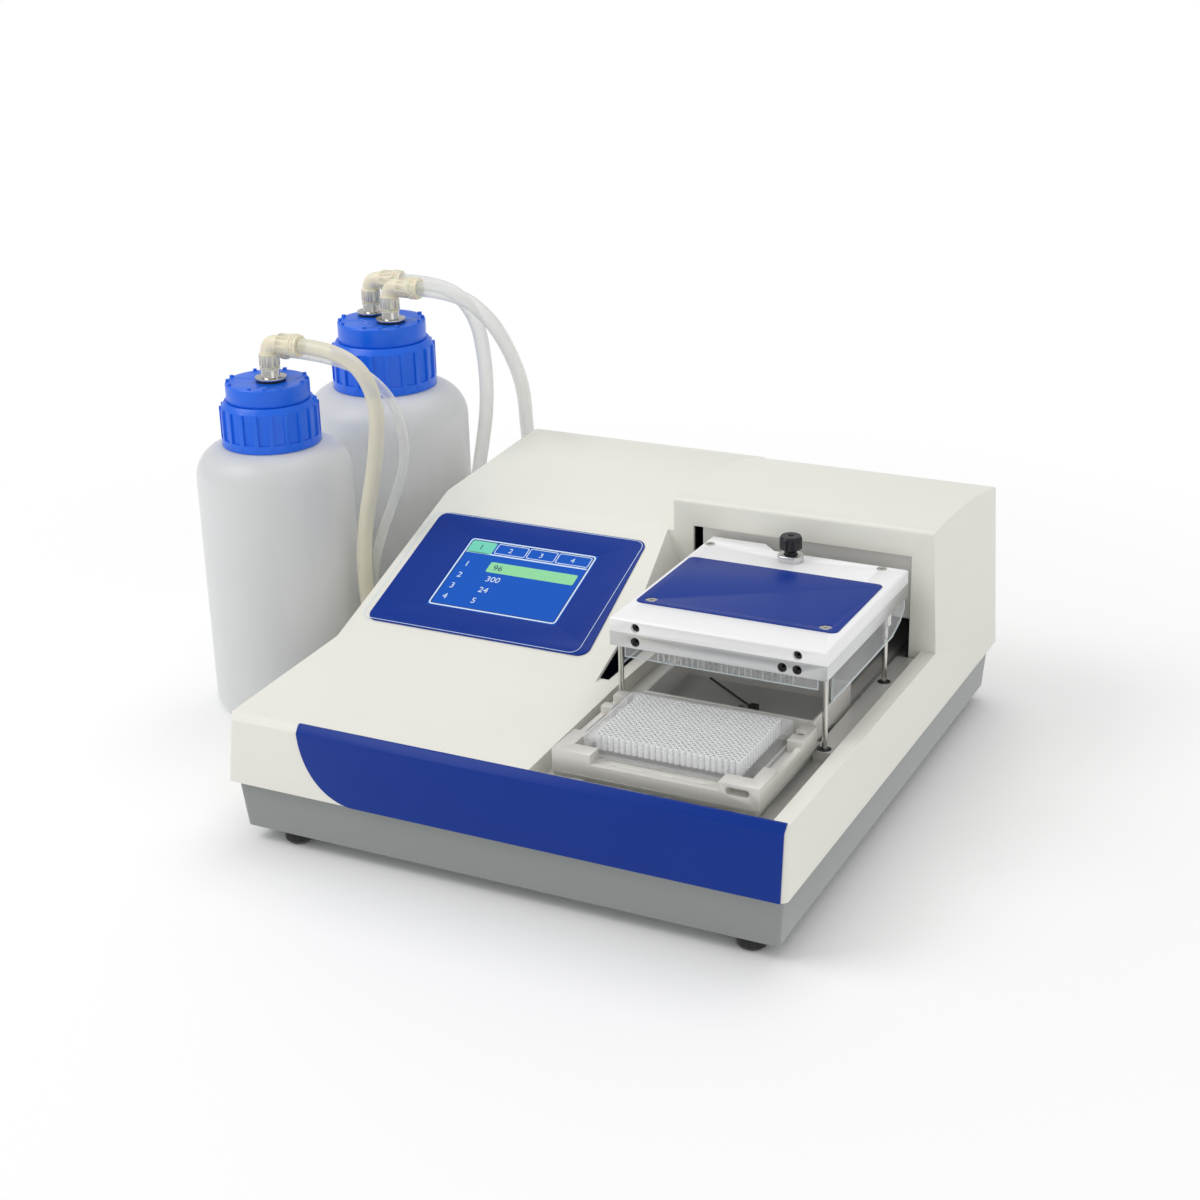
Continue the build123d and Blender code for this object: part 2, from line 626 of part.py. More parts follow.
def guide_posts():
    """Posts fixed in the block, which ride through the floor bushings down to the yoke."""
    posts = []
    for x, y in post_places():
        post = rod(x, y, YOKE_Z, BLOCK_Z + POST_SEAT, POST_R)
        if y == POST_Y2:
            post += rod(x, y, BLOCK_Z - POST_BUSH_H, BLOCK_Z, POST_BUSH_R)
        posts.append(post)
    return posts


def post_bushings():
    bushings = []
    low = CHASSIS_TOP - CHASSIS_T
    for x, y in post_places():
        bush = rod(x, y, low, LEDGE_Z, BUSH_R)
        bush += rod(x, y, low - BUSH_FLANGE, low, BUSH_R + BUSH_RIM)
        bushings.append(bush - rod(x, y, low - PAST, CHASSIS_TOP + PAST, POST_R + RUN))
    return bushings


def splash_shields():
    """Clear side shields outside the carrier and a low one across the front."""
    shields = []
    y0 = POST_Y1 + 6
    y1 = HEAD_Y + HEAD_D - 5
    low = BLOCK_Z - SHIELD_H
    side = [(y0, BLOCK_Z), (y0, low), (y1 - 26, low), (y1 - 8, low + 6), (y1, low + 13), (y1, BLOCK_Z)]
    reach = HEAD_HALF - SHIELD_IN
    for x in (WASH_X - reach, WASH_X + reach - SHIELD_T):
        notch = box(x - 1, x + SHIELD_T + 1, POST_Y2 - POST_BUSH_R - FIT, POST_Y2 + POST_BUSH_R + FIT,
                    BLOCK_Z - POST_BUSH_H - FIT, BLOCK_Z + 1)
        shields.append(across(side, x, x + SHIELD_T) - notch)
    half = HEAD_HALF - 9
    y = SHIELD_FRONT_Y
    shields.append(box(WASH_X - half, WASH_X + half, y, y + SHIELD_T, BLOCK_Z - SHIELD_FRONT_H, BLOCK_Z))
    return shields


def lift_yoke():
    """Cross frame that joins the feet of the four posts and holds the nut."""
    reach = HEAD_HALF - POST_IN
    half = reach + YOKE_REACH
    top = YOKE_Z + YOKE_T
    yoke = box(WASH_X - half, WASH_X + half, SCREW_Y - NUT_R - 5, SCREW_Y + NUT_R + 5, YOKE_Z, top)
    for x in (WASH_X - reach, WASH_X + reach):
        yoke += box(x - YOKE_REACH, x + YOKE_REACH, POST_Y1 - YOKE_REACH, POST_Y2 + YOKE_REACH, YOKE_Z, top)
    for x, y in post_places():
        yoke -= rod(x, y, YOKE_Z - 1, top + 1, POST_R)
    return yoke - rod(WASH_X, SCREW_Y, YOKE_Z - 1, top + 1, NUT_R)


def lift_nut():
    nut = rod(WASH_X, SCREW_Y, YOKE_Z - NUT_H, YOKE_Z + YOKE_T, NUT_R)
    nut += rod(WASH_X, SCREW_Y, YOKE_Z - NUT_H, YOKE_Z, NUT_R + 4)
    return nut - rod(WASH_X, SCREW_Y, YOKE_Z - PAST, YOKE_Z + PAST, LEAD_R + RUN)


def lift_screw():
    """Lead screw from the motor up into its bore in the chassis plate."""
    return rod(WASH_X, SCREW_Y, FOOT_H + WALL + MOTOR_H + 0.1, CHASSIS_TOP, LEAD_R)


def motor(x, y, z0):
    square = RectangleRounded(MOTOR_W, MOTOR_W, 4)
    return extrude(Pos(x, y, z0) * square, amount=MOTOR_H)


def stage_base():
    half = CARRIER_HALF - 1
    plate = box(WASH_X - half, WASH_X + half, CARRIER_Y, TROUGH_Y, STAGE_Z, CARRIER_Z)
    x = WASH_X + PULLEY_R + BELT_T
    y1 = BELT_CLAMP_Y + BELT_CLAMP_L
    clamp = box(x - 5, x + 5, BELT_CLAMP_Y, y1, BELT_Z - 1, STAGE_Z)
    belt = box(x - BELT_T - RUN, x + RUN, BELT_CLAMP_Y - 1, y1 + 1, BELT_Z - RUN, BELT_Z + BELT_H + RUN)
    return plate + (clamp - belt)


def plate_carrier():
    """Machined carrier: tall front blocks, low sill between them, seat for the plate, slot and pocket."""
    x0 = WASH_X - CARRIER_HALF
    x1 = WASH_X + CARRIER_HALF
    y0 = CARRIER_Y
    y1 = CARRIER_Y + CARRIER_D
    carrier = box(x0, x1, y0, y1, CARRIER_Z, SEAT_Z)
    carrier += box(x0, x1, y0, y0 + 5, SEAT_Z, SILL_Z)
    carrier += box(x0, x0 + 4, y0, y1, SEAT_Z, CARRIER_TOP - 5)
    carrier += box(x1 - 4, x1, y0, y1, SEAT_Z, CARRIER_TOP - 4)
    tall = [(x0, x0 + 29, y0, y0 + 13), (x0, x0 + 11, y0, y0 + 34), (x1 - 29, x1, y0, y0 + 13),
            (x1 - 10, x1, y0, y0 + 32), (x1 - 11, x1, y1 - 29, y1), (x0, x0 + 9, y1 - 30, y1 - 22),
            (x0, x0 + 11, y1 - 10, y1)]
    for corner in tall:
        carrier += box(*corner, SEAT_Z, CARRIER_TOP)
    groove = PLATE_L / 2 - 14
    carrier -= box(WASH_X - groove, WASH_X + groove, y0 + 26, y1 - 12, SEAT_Z - 4, SEAT_Z + 1)
    slot = extrude(Plane.XZ * SlotOverall(17, 5.5), amount=12)
    carrier -= Pos(x1 - 15.5, y0 + 9, CARRIER_TOP - 5.5) * slot
    for k in range(4):
        carrier -= rod(WASH_X - 33 + 22 * k, y0 + 8.5, SEAT_Z - 3, SEAT_Z + 1, 1.0)
    carrier -= rod(CLAMP_X, CLAMP_Y, CARRIER_Z + 1, CARRIER_TOP + 1, CLAMP_R + RUN)
    swing = CLAMP_W + CLAMP_SWING
    return carrier - box(x1 - 12, CLAMP_X, CLAMP_Y - swing, CLAMP_Y + swing, SEAT_Z, CARRIER_TOP + 1)


def plate_clamp():
    """Sprung lever that nudges the plate against the left stops."""
    pin = rod(CLAMP_X, CLAMP_Y, CARRIER_Z + 1, CARRIER_TOP - 1, CLAMP_R)
    tip = WASH_X + PLATE_L / 2 + FIT
    return pin + box(tip, CLAMP_X, CLAMP_Y - CLAMP_W, CLAMP_Y + CLAMP_W, SEAT_Z + 1, CARRIER_TOP - 4)


def microplate():
    """Clear plate with a skirt flange, a stepped rim and a grid of square wells."""
    y = PLATE_Y + PLATE_W / 2
    top = SEAT_Z + PLATE_H

    def layer(inset, z0, z1):
        outline = RectangleRounded(PLATE_L - 2 * inset, PLATE_W - 2 * inset, PLATE_R)
        return extrude(Pos(WASH_X, y, z0) * outline, amount=z1 - z0)

    plate = layer(0, SEAT_Z, SEAT_Z + 2.5) + layer(2.25, SEAT_Z + 2.5, top - 1) + layer(3.5, top - 1, top)
    places = [(tube_x(i), y + (j - (ROWS - 1) / 2) * PITCH) for i in range(COLS) for j in range(ROWS)]
    cells = Sketch() + [Pos(px, py, top) * Rectangle(WELL, WELL) for px, py in places]
    return plate - extrude(cells, amount=-WELL_DEEP)


def wash_trough():
    """Deep trough for the tubes behind the carrier, with a drain hole in its floor."""
    w = TROUGH_WALL
    y1 = TROUGH_Y + TROUGH_D
    trough = box(TROUGH_X0, TROUGH_X1, TROUGH_Y, y1, STAGE_Z, TROUGH_TOP)
    trough -= box(TROUGH_X0 + w, TROUGH_X1 - w, TROUGH_Y + w, y1 - w, STAGE_Z + w, TROUGH_TOP + 1)
    return trough - rod(WASH_X, TROUGH_Y + TROUGH_D / 2, STAGE_Z - 1, STAGE_Z + w + 1, DRAIN_R)


def level_probe():
    """Thin rod from a clip at the middle of the trough to its rear wall, on the floor."""
    x = WASH_X + 8
    y = TROUGH_Y + TROUGH_D / 2 - 2
    z = STAGE_Z + TROUGH_WALL
    clip = box(x, x + 6, y - 5, y + 1, z, z + 4)
    return clip + Pos(x + 1, y, z) * Rot(0, 0, 180 - PROBE_TURN) * box(0, PROBE_L, -0.6, 0.6, 0, 1.2)


def stage_rails():
    half = RAIL_W / 2
    z1 = CHASSIS_TOP + RAIL_H
    return [box(x - half, x + half, BAY_FRONT + 3, RAIL_END, CHASSIS_TOP, z1) for x in rail_places()]


def rail_places():
    return WASH_X - RAIL_X, WASH_X + RAIL_X


def runner_blocks():
    blocks = []
    gap = RAIL_W / 2 + RUN
    half = RAIL_W / 2 + RUNNER_WALL
    for x in rail_places():
        for y in (CARRIER_Y + 20, TROUGH_Y + TROUGH_D - 10 - RUNNER_L):
            block = box(x - half, x + half, y, y + RUNNER_L, CHASSIS_TOP + 1.5, STAGE_Z)
            rail = box(x - gap, x + gap, y - 1, y + RUNNER_L + 1, CHASSIS_TOP, CHASSIS_TOP + RAIL_H + RUN)
            blocks.append(block - rail)
    return blocks


def stage_belt():
    """Flat closed belt around both pulleys."""
    middle = (PULLEY_Y1 + PULLEY_Y2) / 2
    span = PULLEY_Y2 - PULLEY_Y1

    def loop(r):
        return Pos(WASH_X, middle, BELT_Z) * Rot(0, 0, 90) * SlotCenterToCenter(span, 2 * r)

    return extrude(loop(PULLEY_R + BELT_T) - loop(PULLEY_R + RUN), amount=BELT_H)


def pulley(y, shaft_low):
    top = BELT_Z + BELT_H
    hub = rod(WASH_X, y, BELT_Z - 0.2, top, PULLEY_R)
    hub += rod(WASH_X, y, BELT_Z - 0.8, BELT_Z - 0.2, PULLEY_R + 2)
    hub += rod(WASH_X, y, shaft_low, top + 0.4, SHAFT_R - RUN)
    return hub - box(WASH_X + 0.6, WASH_X + 1.8, y - 1, y + 1, top - 1, top + 1)


def rear_panel():
    panel = box(PANEL_X, PANEL_X + PANEL_W, BODY_D, PANEL_Y, PANEL_Z, PANEL_Z + PANEL_H)
    for x, z in panel_screw_places():
        panel -= rod_y(x, BODY_D - 1, PANEL_Y + 1, z, SCREW_R + RUN)
    for k in range(BARB_COUNT):
        panel -= rod_y(BARB_X + k * BARB_STEP, BODY_D - 1, PANEL_Y + 1, PORT_Z, BARB_R)
    cuts = [(INLET_X, INLET_HALF, INLET_H), (SWITCH_X, SWITCH_HALF, SWITCH_H),
            (SERIAL_X, SERIAL_HALF, SERIAL_H)]
    for x, half, rise in cuts:
        panel -= box(x - half, x + half, BODY_D - 1, PANEL_Y + 1, PORT_Z - rise, PORT_Z + rise)
    return panel


def panel_screws():
    y = PANEL_Y
    places = panel_screw_places()
    return [rod_y(x, y - 6, y, z, SCREW_R) + rod_y(x, y, y + 1.8, z, 2 * SCREW_R) for x, z in places]


def hose_barbs():
    y = PANEL_Y
    barbs = []
    for k in range(BARB_COUNT):
        x = BARB_X + k * BARB_STEP
        nut = Pos(x, y, PORT_Z) * extrude(Plane.XZ * RegularPolygon(2 * BARB_R, 6), amount=-4)
        stem = rod_y(x, y - 8, y + BARB_L, PORT_Z, BARB_R)
        barbs.append(nut + stem - rod_y(x, y - 9, y + BARB_L + 1, PORT_Z, BARB_R - 1.5))
    return barbs


def power_inlet():
    """Plain three-pin inlet with a deep mouth."""
    y = PANEL_Y
    half = INLET_HALF
    rise = INLET_H
    inlet = box(INLET_X - half - 2, INLET_X + half + 2, y, y + 2, PORT_Z - rise - 2, PORT_Z + rise + 2)
    inlet += box(INLET_X - half, INLET_X + half, y - 24, y, PORT_Z - rise, PORT_Z + rise)
    inlet -= box(INLET_X - half + 2, INLET_X + half - 2, y - 20, y + 3, PORT_Z - rise + 3, PORT_Z + rise - 3)
    for dx, dz in ((-6, -1.5), (6, -1.5), (0, 2)):
        pin_x = INLET_X + dx
        inlet += box(pin_x - 1, pin_x + 1, y - 20, y - 6, PORT_Z + dz - 2, PORT_Z + dz + 2)
    return inlet


def switch_frame():
    """Frame around the rocker, with bores for its cross pin."""
    y = PANEL_Y
    half = SWITCH_HALF
    rise = SWITCH_H
    frame = box(SWITCH_X - half - 2, SWITCH_X + half + 2, y, y + 1.5, PORT_Z - rise - 2, PORT_Z + rise + 2)
    frame += box(SWITCH_X - half, SWITCH_X + half, y - 14, y, PORT_Z - rise, PORT_Z + rise)
    mouth = rise - SWITCH_WALL
    frame -= box(SWITCH_X - half + 2, SWITCH_X + half - 2, y - 12, y + 3, PORT_Z - mouth, PORT_Z + mouth)
    return frame - cross_pin(1.0 + RUN, 2 * half - 1)


def cross_pin(radius, length):
    return Pos(SWITCH_X, PANEL_Y - SWITCH_PIN, PORT_Z) * Rot(0, 90, 0) * Cylinder(radius, length)


def power_switch():
    """Rocker on a cross pin, with two faces that meet in a shallow vee."""
    y = PANEL_Y
    z = PORT_Z
    tip = SWITCH_H - 2.0
    points = [(y + 2.6, z - tip), (y + 0.6, z), (y + 2.6, z + tip), (y - 2, z + tip - 1), (y - 8, z + 3),
              (y - 8, z - 3), (y - 2, z - tip + 1)]
    half = SWITCH_HALF - 2.4
    rocker = across(points, SWITCH_X - half, SWITCH_X + half) + cross_pin(1.0, 2 * SWITCH_HALF - 2)
    pin = Pos(SWITCH_X, y - SWITCH_PIN, z)
    return pin * Rot(-SWITCH_TILT, 0, 0) * pin.inverse() * rocker


def serial_port():
    """Data socket: flange, body and a shell with a slanted outline."""
    y = PANEL_Y
    half = SERIAL_HALF
    rise = SERIAL_H
    flange = box(SERIAL_X - half - 2, SERIAL_X + half + 2, y, y + 1, PORT_Z - rise - 2, PORT_Z + rise + 2)
    body = box(SERIAL_X - half, SERIAL_X + half, y - 10, y, PORT_Z - rise, PORT_Z + rise)

    def nose(inset, y0, y1):
        w = half - inset
        h = rise - 1 - inset
        outline = make_face(Polyline((-w, h), (w, h), (w - 1.5, -h), (1.5 - w, -h), close=True))
        return Pos(SERIAL_X, y1, PORT_Z) * extrude(Plane.XZ * outline, amount=y1 - y0)

    return flange + body + nose(0, y + 1, y + 6) - nose(0.8, y + 1, y + 7)


def bottle(x, y, s, height):
    """Bottle with a round shoulder and a short neck, hollow and closed by its cap."""
    r = BOTTLE_R * s
    neck = NECK_R * s
    side_top = height - 24 * s - 2
    top = height + NECK_H * s

    def half(t):
        bend = ThreePointArc((r - t, side_top), (r - t - 7 * s, height - 9 * s), (neck + 4 * s - t, height - t))
        foot = ThreePointArc((r - 8, t), (r - t - 2.2, 2.3 + t * 0.6), (r - t, 8))
        line = Polyline((r - t, 8), (r - t, side_top))
        rest = Polyline(bend @ 1, (neck - t, height - t), (neck - t, top + t), (0, top + t), (0, t), foot @ 0)
        return revolve(Plane.XZ * make_face(foot + line + bend + rest), Axis.Z)

    return Pos(x, y, 0) * (half(0) - half(BOTTLE_WALL))


def cap_ring(x, y, s, height):
    """Screw ring: smooth flange below, ribbed skirt, bevelled shoulder, open top for the insert."""
    z0 = height + 0.1
    z1 = height + 7 * s
    z2 = height + 33 * s - 1
    z3 = height + 36.5 * s
    neck_top = height + NECK_H * s + FIT
    r = RING_R * s
    inner = NECK_R * s + FIT
    profile = [(inner, z0), (r, z0), (r, z1), (r - 1.6 * s, z1), (r - 1.6 * s, z2), (r - 4.5 * s, z3),
               (inner + 0.6 * s, z3), (inner + 0.6 * s, neck_top), (inner, neck_top)]
    ring = turned(profile)
    for k in range(RING_RIBS):
        rib = box(r - 3 * s, r, -1.9 * s, 1.9 * s, z1 - 1, z2)
        ring += Rot(0, 0, 360 / RING_RIBS * k) * rib
    return Pos(x, y, 0) * ring


def cap_insert(x, y, s, height, bores):
    """Insert that closes the neck, with small lugs on its top and bores for the stems."""
    z3 = height + 36.5 * s + FIT
    z4 = height + CAP_H * s
    r = INSERT_R * s
    low = height + NECK_H * s + 2
    stepped = NECK_R * s
    insert = turned([(0, low), (stepped, low), (stepped, z3), (r, z3), (r, z4 - 1), (r - 1, z4), (0, z4)])
    for k in range(16):
        if k % 4 != 3:
            lug = box(r - 3.5 * s, r - 0.8 * s, -1.3, 1.3, z4 - 0.5, z4 + 1.8 * s)
            insert += Rot(0, 0, 22.5 * k + 8) * lug
    insert = Pos(x, y, 0) * insert
    for bore_x, bore_y, radius in bores:
        insert -= rod(bore_x, bore_y, low - 1, z4 + 1, radius)
    return insert


def stems():
    return [(*FRONT_STEM, FRONT_TOP), (*REAR_STEM_1, REAR_TOP), (*REAR_STEM_2, REAR_TOP)]


def fitting_seals():
    rings = []
    for x, y, z in stems():
        rings.append(rod(x, y, z, z + SEAL_T, WASHER_R - 1) - rod(x, y, z - 1, z + SEAL_T + 1, STEM_R))
    return rings


def fitting_stems():
    """Steel stems with their washers, one through each bore of the inserts."""
    solids = []
    for x, y, z in stems():
        stem = rod(x, y, z - 24, z + STEM_TOP, STEM_R)
        stem += rod(x, y, z + SEAL_T, z + SEAL_T + WASHER_T, WASHER_R)
        stem += rod(x, y, z + SEAL_T + WASHER_T, z + NUT_TOP, STEM_R + 2.1)
        solids.append(stem - rod(x, y, z - 25, z + STEM_TOP + 1, STEM_BORE))
    return solids


def elbow(x, y, z, s, yaw):
    """Elbow of size s: collar on the stem, quarter bend, and a ringed outlet."""
    r = ELBOW_R
    rise = ELBOW_Z - KNEE_R
    low = NUT_TOP + 0.1
    collar = turned([(0, low), (r + 1.2, low), (r + 1.2, 11.4), (r + 0.2, 11.6), (r + 0.2, 13), (r + 1.4, 13.2),
                     (r + 1.4, rise - 1), (r, rise), (0, rise)])
    outlet = turned([(0, KNEE_R), (r, KNEE_R), (r + 0.4, 12), (r + 1.8, 12.4), (r + 1.8, 23), (r + 2.4, 23.4),
                     (r + 2.4, 25.6), (r + 1.8, 26), (r + 2.4, 26.4), (r + 2.4, 28.6), (r + 1.8, 29),
                     (r + 1.8, ELBOW_OUT), (0, ELBOW_OUT)])
    knee = revolve(Pos(0, 0, rise) * Circle(r), Axis((KNEE_R, 0, rise), (0, 1, 0)), 90)
    body = collar + knee + Pos(0, 0, ELBOW_Z) * Rot(0, 90, 0) * outlet
    body -= rod(0, 0, low - 1, STEM_TOP, STEM_R)
    return Pos(x, y, z) * Rot(0, 0, yaw) * scale(body, by=s)


def elbows():
    return [elbow(*FRONT_STEM, FRONT_TOP, 1.0, 0), elbow(*REAR_STEM_1, REAR_TOP, 1.0, REAR_YAW),
            elbow(*REAR_STEM_2, REAR_TOP, 1.0, 0)]


def vent_elbow():
    """Small elbow of the vent line, with its own stem in the front insert."""
    x, y = VENT_STEM
    stem = rod(x, y, FRONT_TOP - 14, FRONT_TOP + STEM_TOP * VENT_SCALE, STEM_R * VENT_SCALE)
    return elbow(x, y, FRONT_TOP, VENT_SCALE, 0) + stem


def dip_tubes():
    """Tubes that hang from the stems to just above the floor of each bottle."""
    tubes = []
    for x, y, z in stems():
        tubes.append(rod(x, y, 12, z - 12, STEM_BORE - RUN) - rod(x, y, 11, z, STEM_BORE - 1.2))
    return tubes


def barb_mouth(k, run=0):
    """Point on the axis of barb k, a run beyond its mouth."""
    return (BARB_X + k * BARB_STEP, PANEL_Y + BARB_L + run, PORT_Z)


def outlet_mouth(stem, top, s, yaw, run=0):
    """Point on the axis of an elbow's outlet, a run beyond its mouth."""
    reach = ELBOW_OUT * s + run
    turn = math.radians(yaw)
    return (stem[0] + reach * math.cos(turn), stem[1] + reach * math.sin(turn), top + ELBOW_Z * s)


def at(x, y, z):
    """Point of a route, y counted backwards from the rear panel."""
    return (x, PANEL_Y + y, z)


# Hose routes: mouth of the elbow, points chosen by hand, mouth of the barb
HOSES = {
    "waste_hose": (HOSE_D, [
        outlet_mouth(FRONT_STEM, FRONT_TOP, 1.0, 0), outlet_mouth(FRONT_STEM, FRONT_TOP, 1.0, 0, 42),
        at(-5, -241.5, 281), at(-9, -241, 228), at(-30, -239.5, 150), at(-31, -235.5, 84),
        at(-26, -219.5, 32), at(-16, -156.5, 13), at(-14, -61.5, 15), at(-15, 38.5, 13),
        at(15, 93.5, 22), at(80, 110.5, 45), at(130, 84.5, 76), barb_mouth(3, 41.5), barb_mouth(3)]),
    "vent_hose": (VENT_D, [
        outlet_mouth(VENT_STEM, FRONT_TOP, VENT_SCALE, 0),
        outlet_mouth(VENT_STEM, FRONT_TOP, VENT_SCALE, 0, 52.4), at(-6, -221.5, 277), at(7, -221.5, 240),
        at(1, -221.5, 203), at(-26, -221.5, 145), at(-37, -219.5, 100), at(-34, -206.5, 52),
        at(-22, -151.5, 32), at(-16, -51.5, 31), at(-14, 38.5, 32), at(0, 74.5, 38), at(30, 90.5, 54),
        at(53, 68.5, 76), barb_mouth(0, 27.5), barb_mouth(0)]),
    "wash_hose_1": (HOSE_D, [
        outlet_mouth(REAR_STEM_1, REAR_TOP, 1.0, REAR_YAW),
        outlet_mouth(REAR_STEM_1, REAR_TOP, 1.0, REAR_YAW, 41.7), at(-20, -54, 300), at(-16, -48.5, 258),
        at(-24, -34.5, 212), at(-42, -17.5, 163), at(-60, -3.5, 112), at(-47, 46.5, 72),
        at(-5, 84.5, 68), at(33, 96.5, 79), at(67, 86.5, 87), barb_mouth(1, 45.5), barb_mouth(1)]),
    "wash_hose_2": (HOSE_D, [
        outlet_mouth(REAR_STEM_2, REAR_TOP, 1.0, 0), outlet_mouth(REAR_STEM_2, REAR_TOP, 1.0, 0, 38),
        at(8, -76.5, 303), at(9, -45.5, 265), at(1, -11.5, 225), at(-14, 18.5, 180), at(-22, 38.5, 140),
        at(-10, 74.5, 116), at(20, 97.5, 108), at(60, 101.5, 104), at(99, 88.5, 95), barb_mouth(2, 47.5),
        barb_mouth(2)]),
}


def hose(name):
    """Plain round solid along straight runs joined by tangent arcs."""
    diameter, points = HOSES[name]
    runs = [Vector(*b) - Vector(*a) for a, b in zip(points, points[1:])]
    radii = []
    for a, b in zip(runs, runs[1:]):
        half = math.radians(a.get_angle(b)) / 2
        radii.append(0.45 * min(a.length, b.length) / math.tan(half))
    line = FilletPolyline(*points, radius=radii)
    print(name, "radii", [round(r, 1) for r in radii], "length", round(line.length, 1))
    solid = sweep(Plane(origin=line @ 0, z_dir=line % 0) * Circle(diameter / 2), path=line)
    print(name, "volume ratio", round(solid.volume / (math.pi * diameter ** 2 / 4 * line.length), 4))
    return solid


def whole():
    keep("base_pan", base_pan())
    keep("rubber_feet", rubber_feet())
    keep("upper_shell", upper_shell())
    keep("front_band", front_band())
    keep("console_panel", console_panel())
    keep("display_screen", display_screen())
    keep("chassis_plate", chassis_plate())
    keep("chassis_standoffs", chassis_standoffs())
    keep("bay_liner", bay_liner())
    keep("head_backplate", head_backplate())
    keep("head_cover", head_cover())
    keep("head_label", head_label())
    keep("head_screws", head_screws())
    keep("front_sockets", front_sockets())
    keep("head_block", head_block())
    keep("tube_manifold", tube_manifold())
    keep("thumb_collar", thumb_collar())
    keep("thumb_screw", thumb_screw())
    keep("guide_posts", guide_posts())
    keep("post_bushings", post_bushings())
    keep("splash_shields", splash_shields())
    keep("lift_yoke", lift_yoke())
    keep("lift_nut", lift_nut())
    keep("lift_screw", lift_screw())
    keep("lift_motor", motor(WASH_X, SCREW_Y, FOOT_H + WALL))
    keep("stage_base", stage_base())
    keep("plate_carrier", plate_carrier())
    keep("plate_clamp", plate_clamp())
    keep("microplate", microplate())
    keep("wash_trough", wash_trough())
    keep("level_probe", level_probe())
    keep("stage_rails", stage_rails())
    keep("runner_blocks", runner_blocks())
    keep("stage_belt", stage_belt())
    keep("idler_pulley", pulley(PULLEY_Y1, CHASSIS_TOP - CHASSIS_T))
    motor_top = CHASSIS_TOP - CHASSIS_T
    keep("drive_pulley", pulley(PULLEY_Y2, motor_top + 0.1))
    keep("stage_motor", motor(WASH_X, PULLEY_Y2, motor_top - MOTOR_H))
    keep("rear_panel", rear_panel())
    keep("panel_screws", panel_screws())
    keep("hose_barbs", hose_barbs())
    keep("power_inlet", power_inlet())
    keep("switch_frame", switch_frame())
    keep("power_switch", power_switch())
    keep("serial_port", serial_port())
    keep("bottle_front", bottle(BOTTLE_X, BOTTLE_Y, 1.0, BOTTLE_H))
    keep("bottle_rear", bottle(REAR_X, REAR_Y, REAR_SCALE, REAR_H))
    keep("cap_ring_front", cap_ring(BOTTLE_X, BOTTLE_Y, 1.0, BOTTLE_H))
    keep("cap_ring_rear", cap_ring(REAR_X, REAR_Y, REAR_SCALE, REAR_H))
    front_bores = [(*FRONT_STEM, STEM_R), (*VENT_STEM, STEM_R * VENT_SCALE)]
    rear_bores = [(*REAR_STEM_1, STEM_R), (*REAR_STEM_2, STEM_R)]
    keep("cap_insert_front", cap_insert(BOTTLE_X, BOTTLE_Y, 1.0, BOTTLE_H, front_bores))
    keep("cap_insert_rear", cap_insert(REAR_X, REAR_Y, REAR_SCALE, REAR_H, rear_bores))
    keep("fitting_seals", fitting_seals())
    keep("fitting_stems", fitting_stems())
    keep("elbows", elbows())
    keep("vent_elbow", vent_elbow())
    keep("dip_tubes", dip_tubes())
    for name in HOSES:
        keep(name, hose(name))


whole()
for name, shape in PIECES.items():
    solids = shape if isinstance(shape, list) else shape.solids()
    placed = [Pos(-ORIGIN_X, -ORIGIN_Y, 0) * solid for solid in solids]
    export_step(Compound(children=placed) if len(placed) > 1 else placed[0], f"parts/{name}.step")
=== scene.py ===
import json
import math

import bpy
from bpy.props import FloatProperty, FloatVectorProperty, IntProperty, PointerProperty
from mathutils import Matrix, Vector


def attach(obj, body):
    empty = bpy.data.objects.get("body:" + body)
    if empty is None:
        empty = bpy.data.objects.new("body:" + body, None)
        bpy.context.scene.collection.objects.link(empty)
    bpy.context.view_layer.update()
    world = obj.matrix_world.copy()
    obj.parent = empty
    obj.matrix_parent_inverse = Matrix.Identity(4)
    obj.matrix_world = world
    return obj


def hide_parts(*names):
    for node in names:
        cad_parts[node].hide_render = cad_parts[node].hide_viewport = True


bl_info = {
    "name": "Microplate washer",
    "version": (1, 0, 0),
    "blender": (4, 5, 0),
    "location": "View3D > Sidebar > Washer",
    "description": "Builds the visible surfaces of a bench-top microplate washer on its CAD frame",
    "category": "Add Mesh",
}

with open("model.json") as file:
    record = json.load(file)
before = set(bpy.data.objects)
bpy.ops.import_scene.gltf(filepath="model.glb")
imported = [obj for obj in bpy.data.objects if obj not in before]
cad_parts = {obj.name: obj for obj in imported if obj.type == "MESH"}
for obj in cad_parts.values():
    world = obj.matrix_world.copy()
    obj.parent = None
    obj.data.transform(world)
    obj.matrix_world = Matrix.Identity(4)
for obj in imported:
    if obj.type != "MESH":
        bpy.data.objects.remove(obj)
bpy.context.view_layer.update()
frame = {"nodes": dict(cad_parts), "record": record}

MM = 0.001
# Corner of the body's footprint in the row frame, in millimetres
CORNER_X = -133.0
CORNER_Y = -248.65

# Console plane, as in the model: it rises from the fold towards the back
FOLD_Y = 150.0
FOLD_Z = 108.0
SLOPE = math.atan2(175.0 - FOLD_Z, 322.0 - FOLD_Y)


def tone(code):
    """Linear colour with alpha of an sRGB hex value."""
    parts = [int(code[i:i + 2], 16) / 255 for i in (0, 2, 4)]
    return [p / 12.92 if p <= 0.04045 else ((p + 0.055) / 1.055) ** 2.4 for p in parts] + [1.0]


def spot(x, y, z):
    """Point in metres of a place in millimetres from the body's front left corner."""
    return Vector(((x + CORNER_X) * MM, (y + CORNER_Y) * MM, z * MM))


def on_slope(x, s, h):
    """Point on the console: x along the front, s up the slope, h above it, in millimetres."""
    y = FOLD_Y + s * math.cos(SLOPE) - h * math.sin(SLOPE)
    return spot(x, y, FOLD_Z + s * math.sin(SLOPE) + h * math.cos(SLOPE))


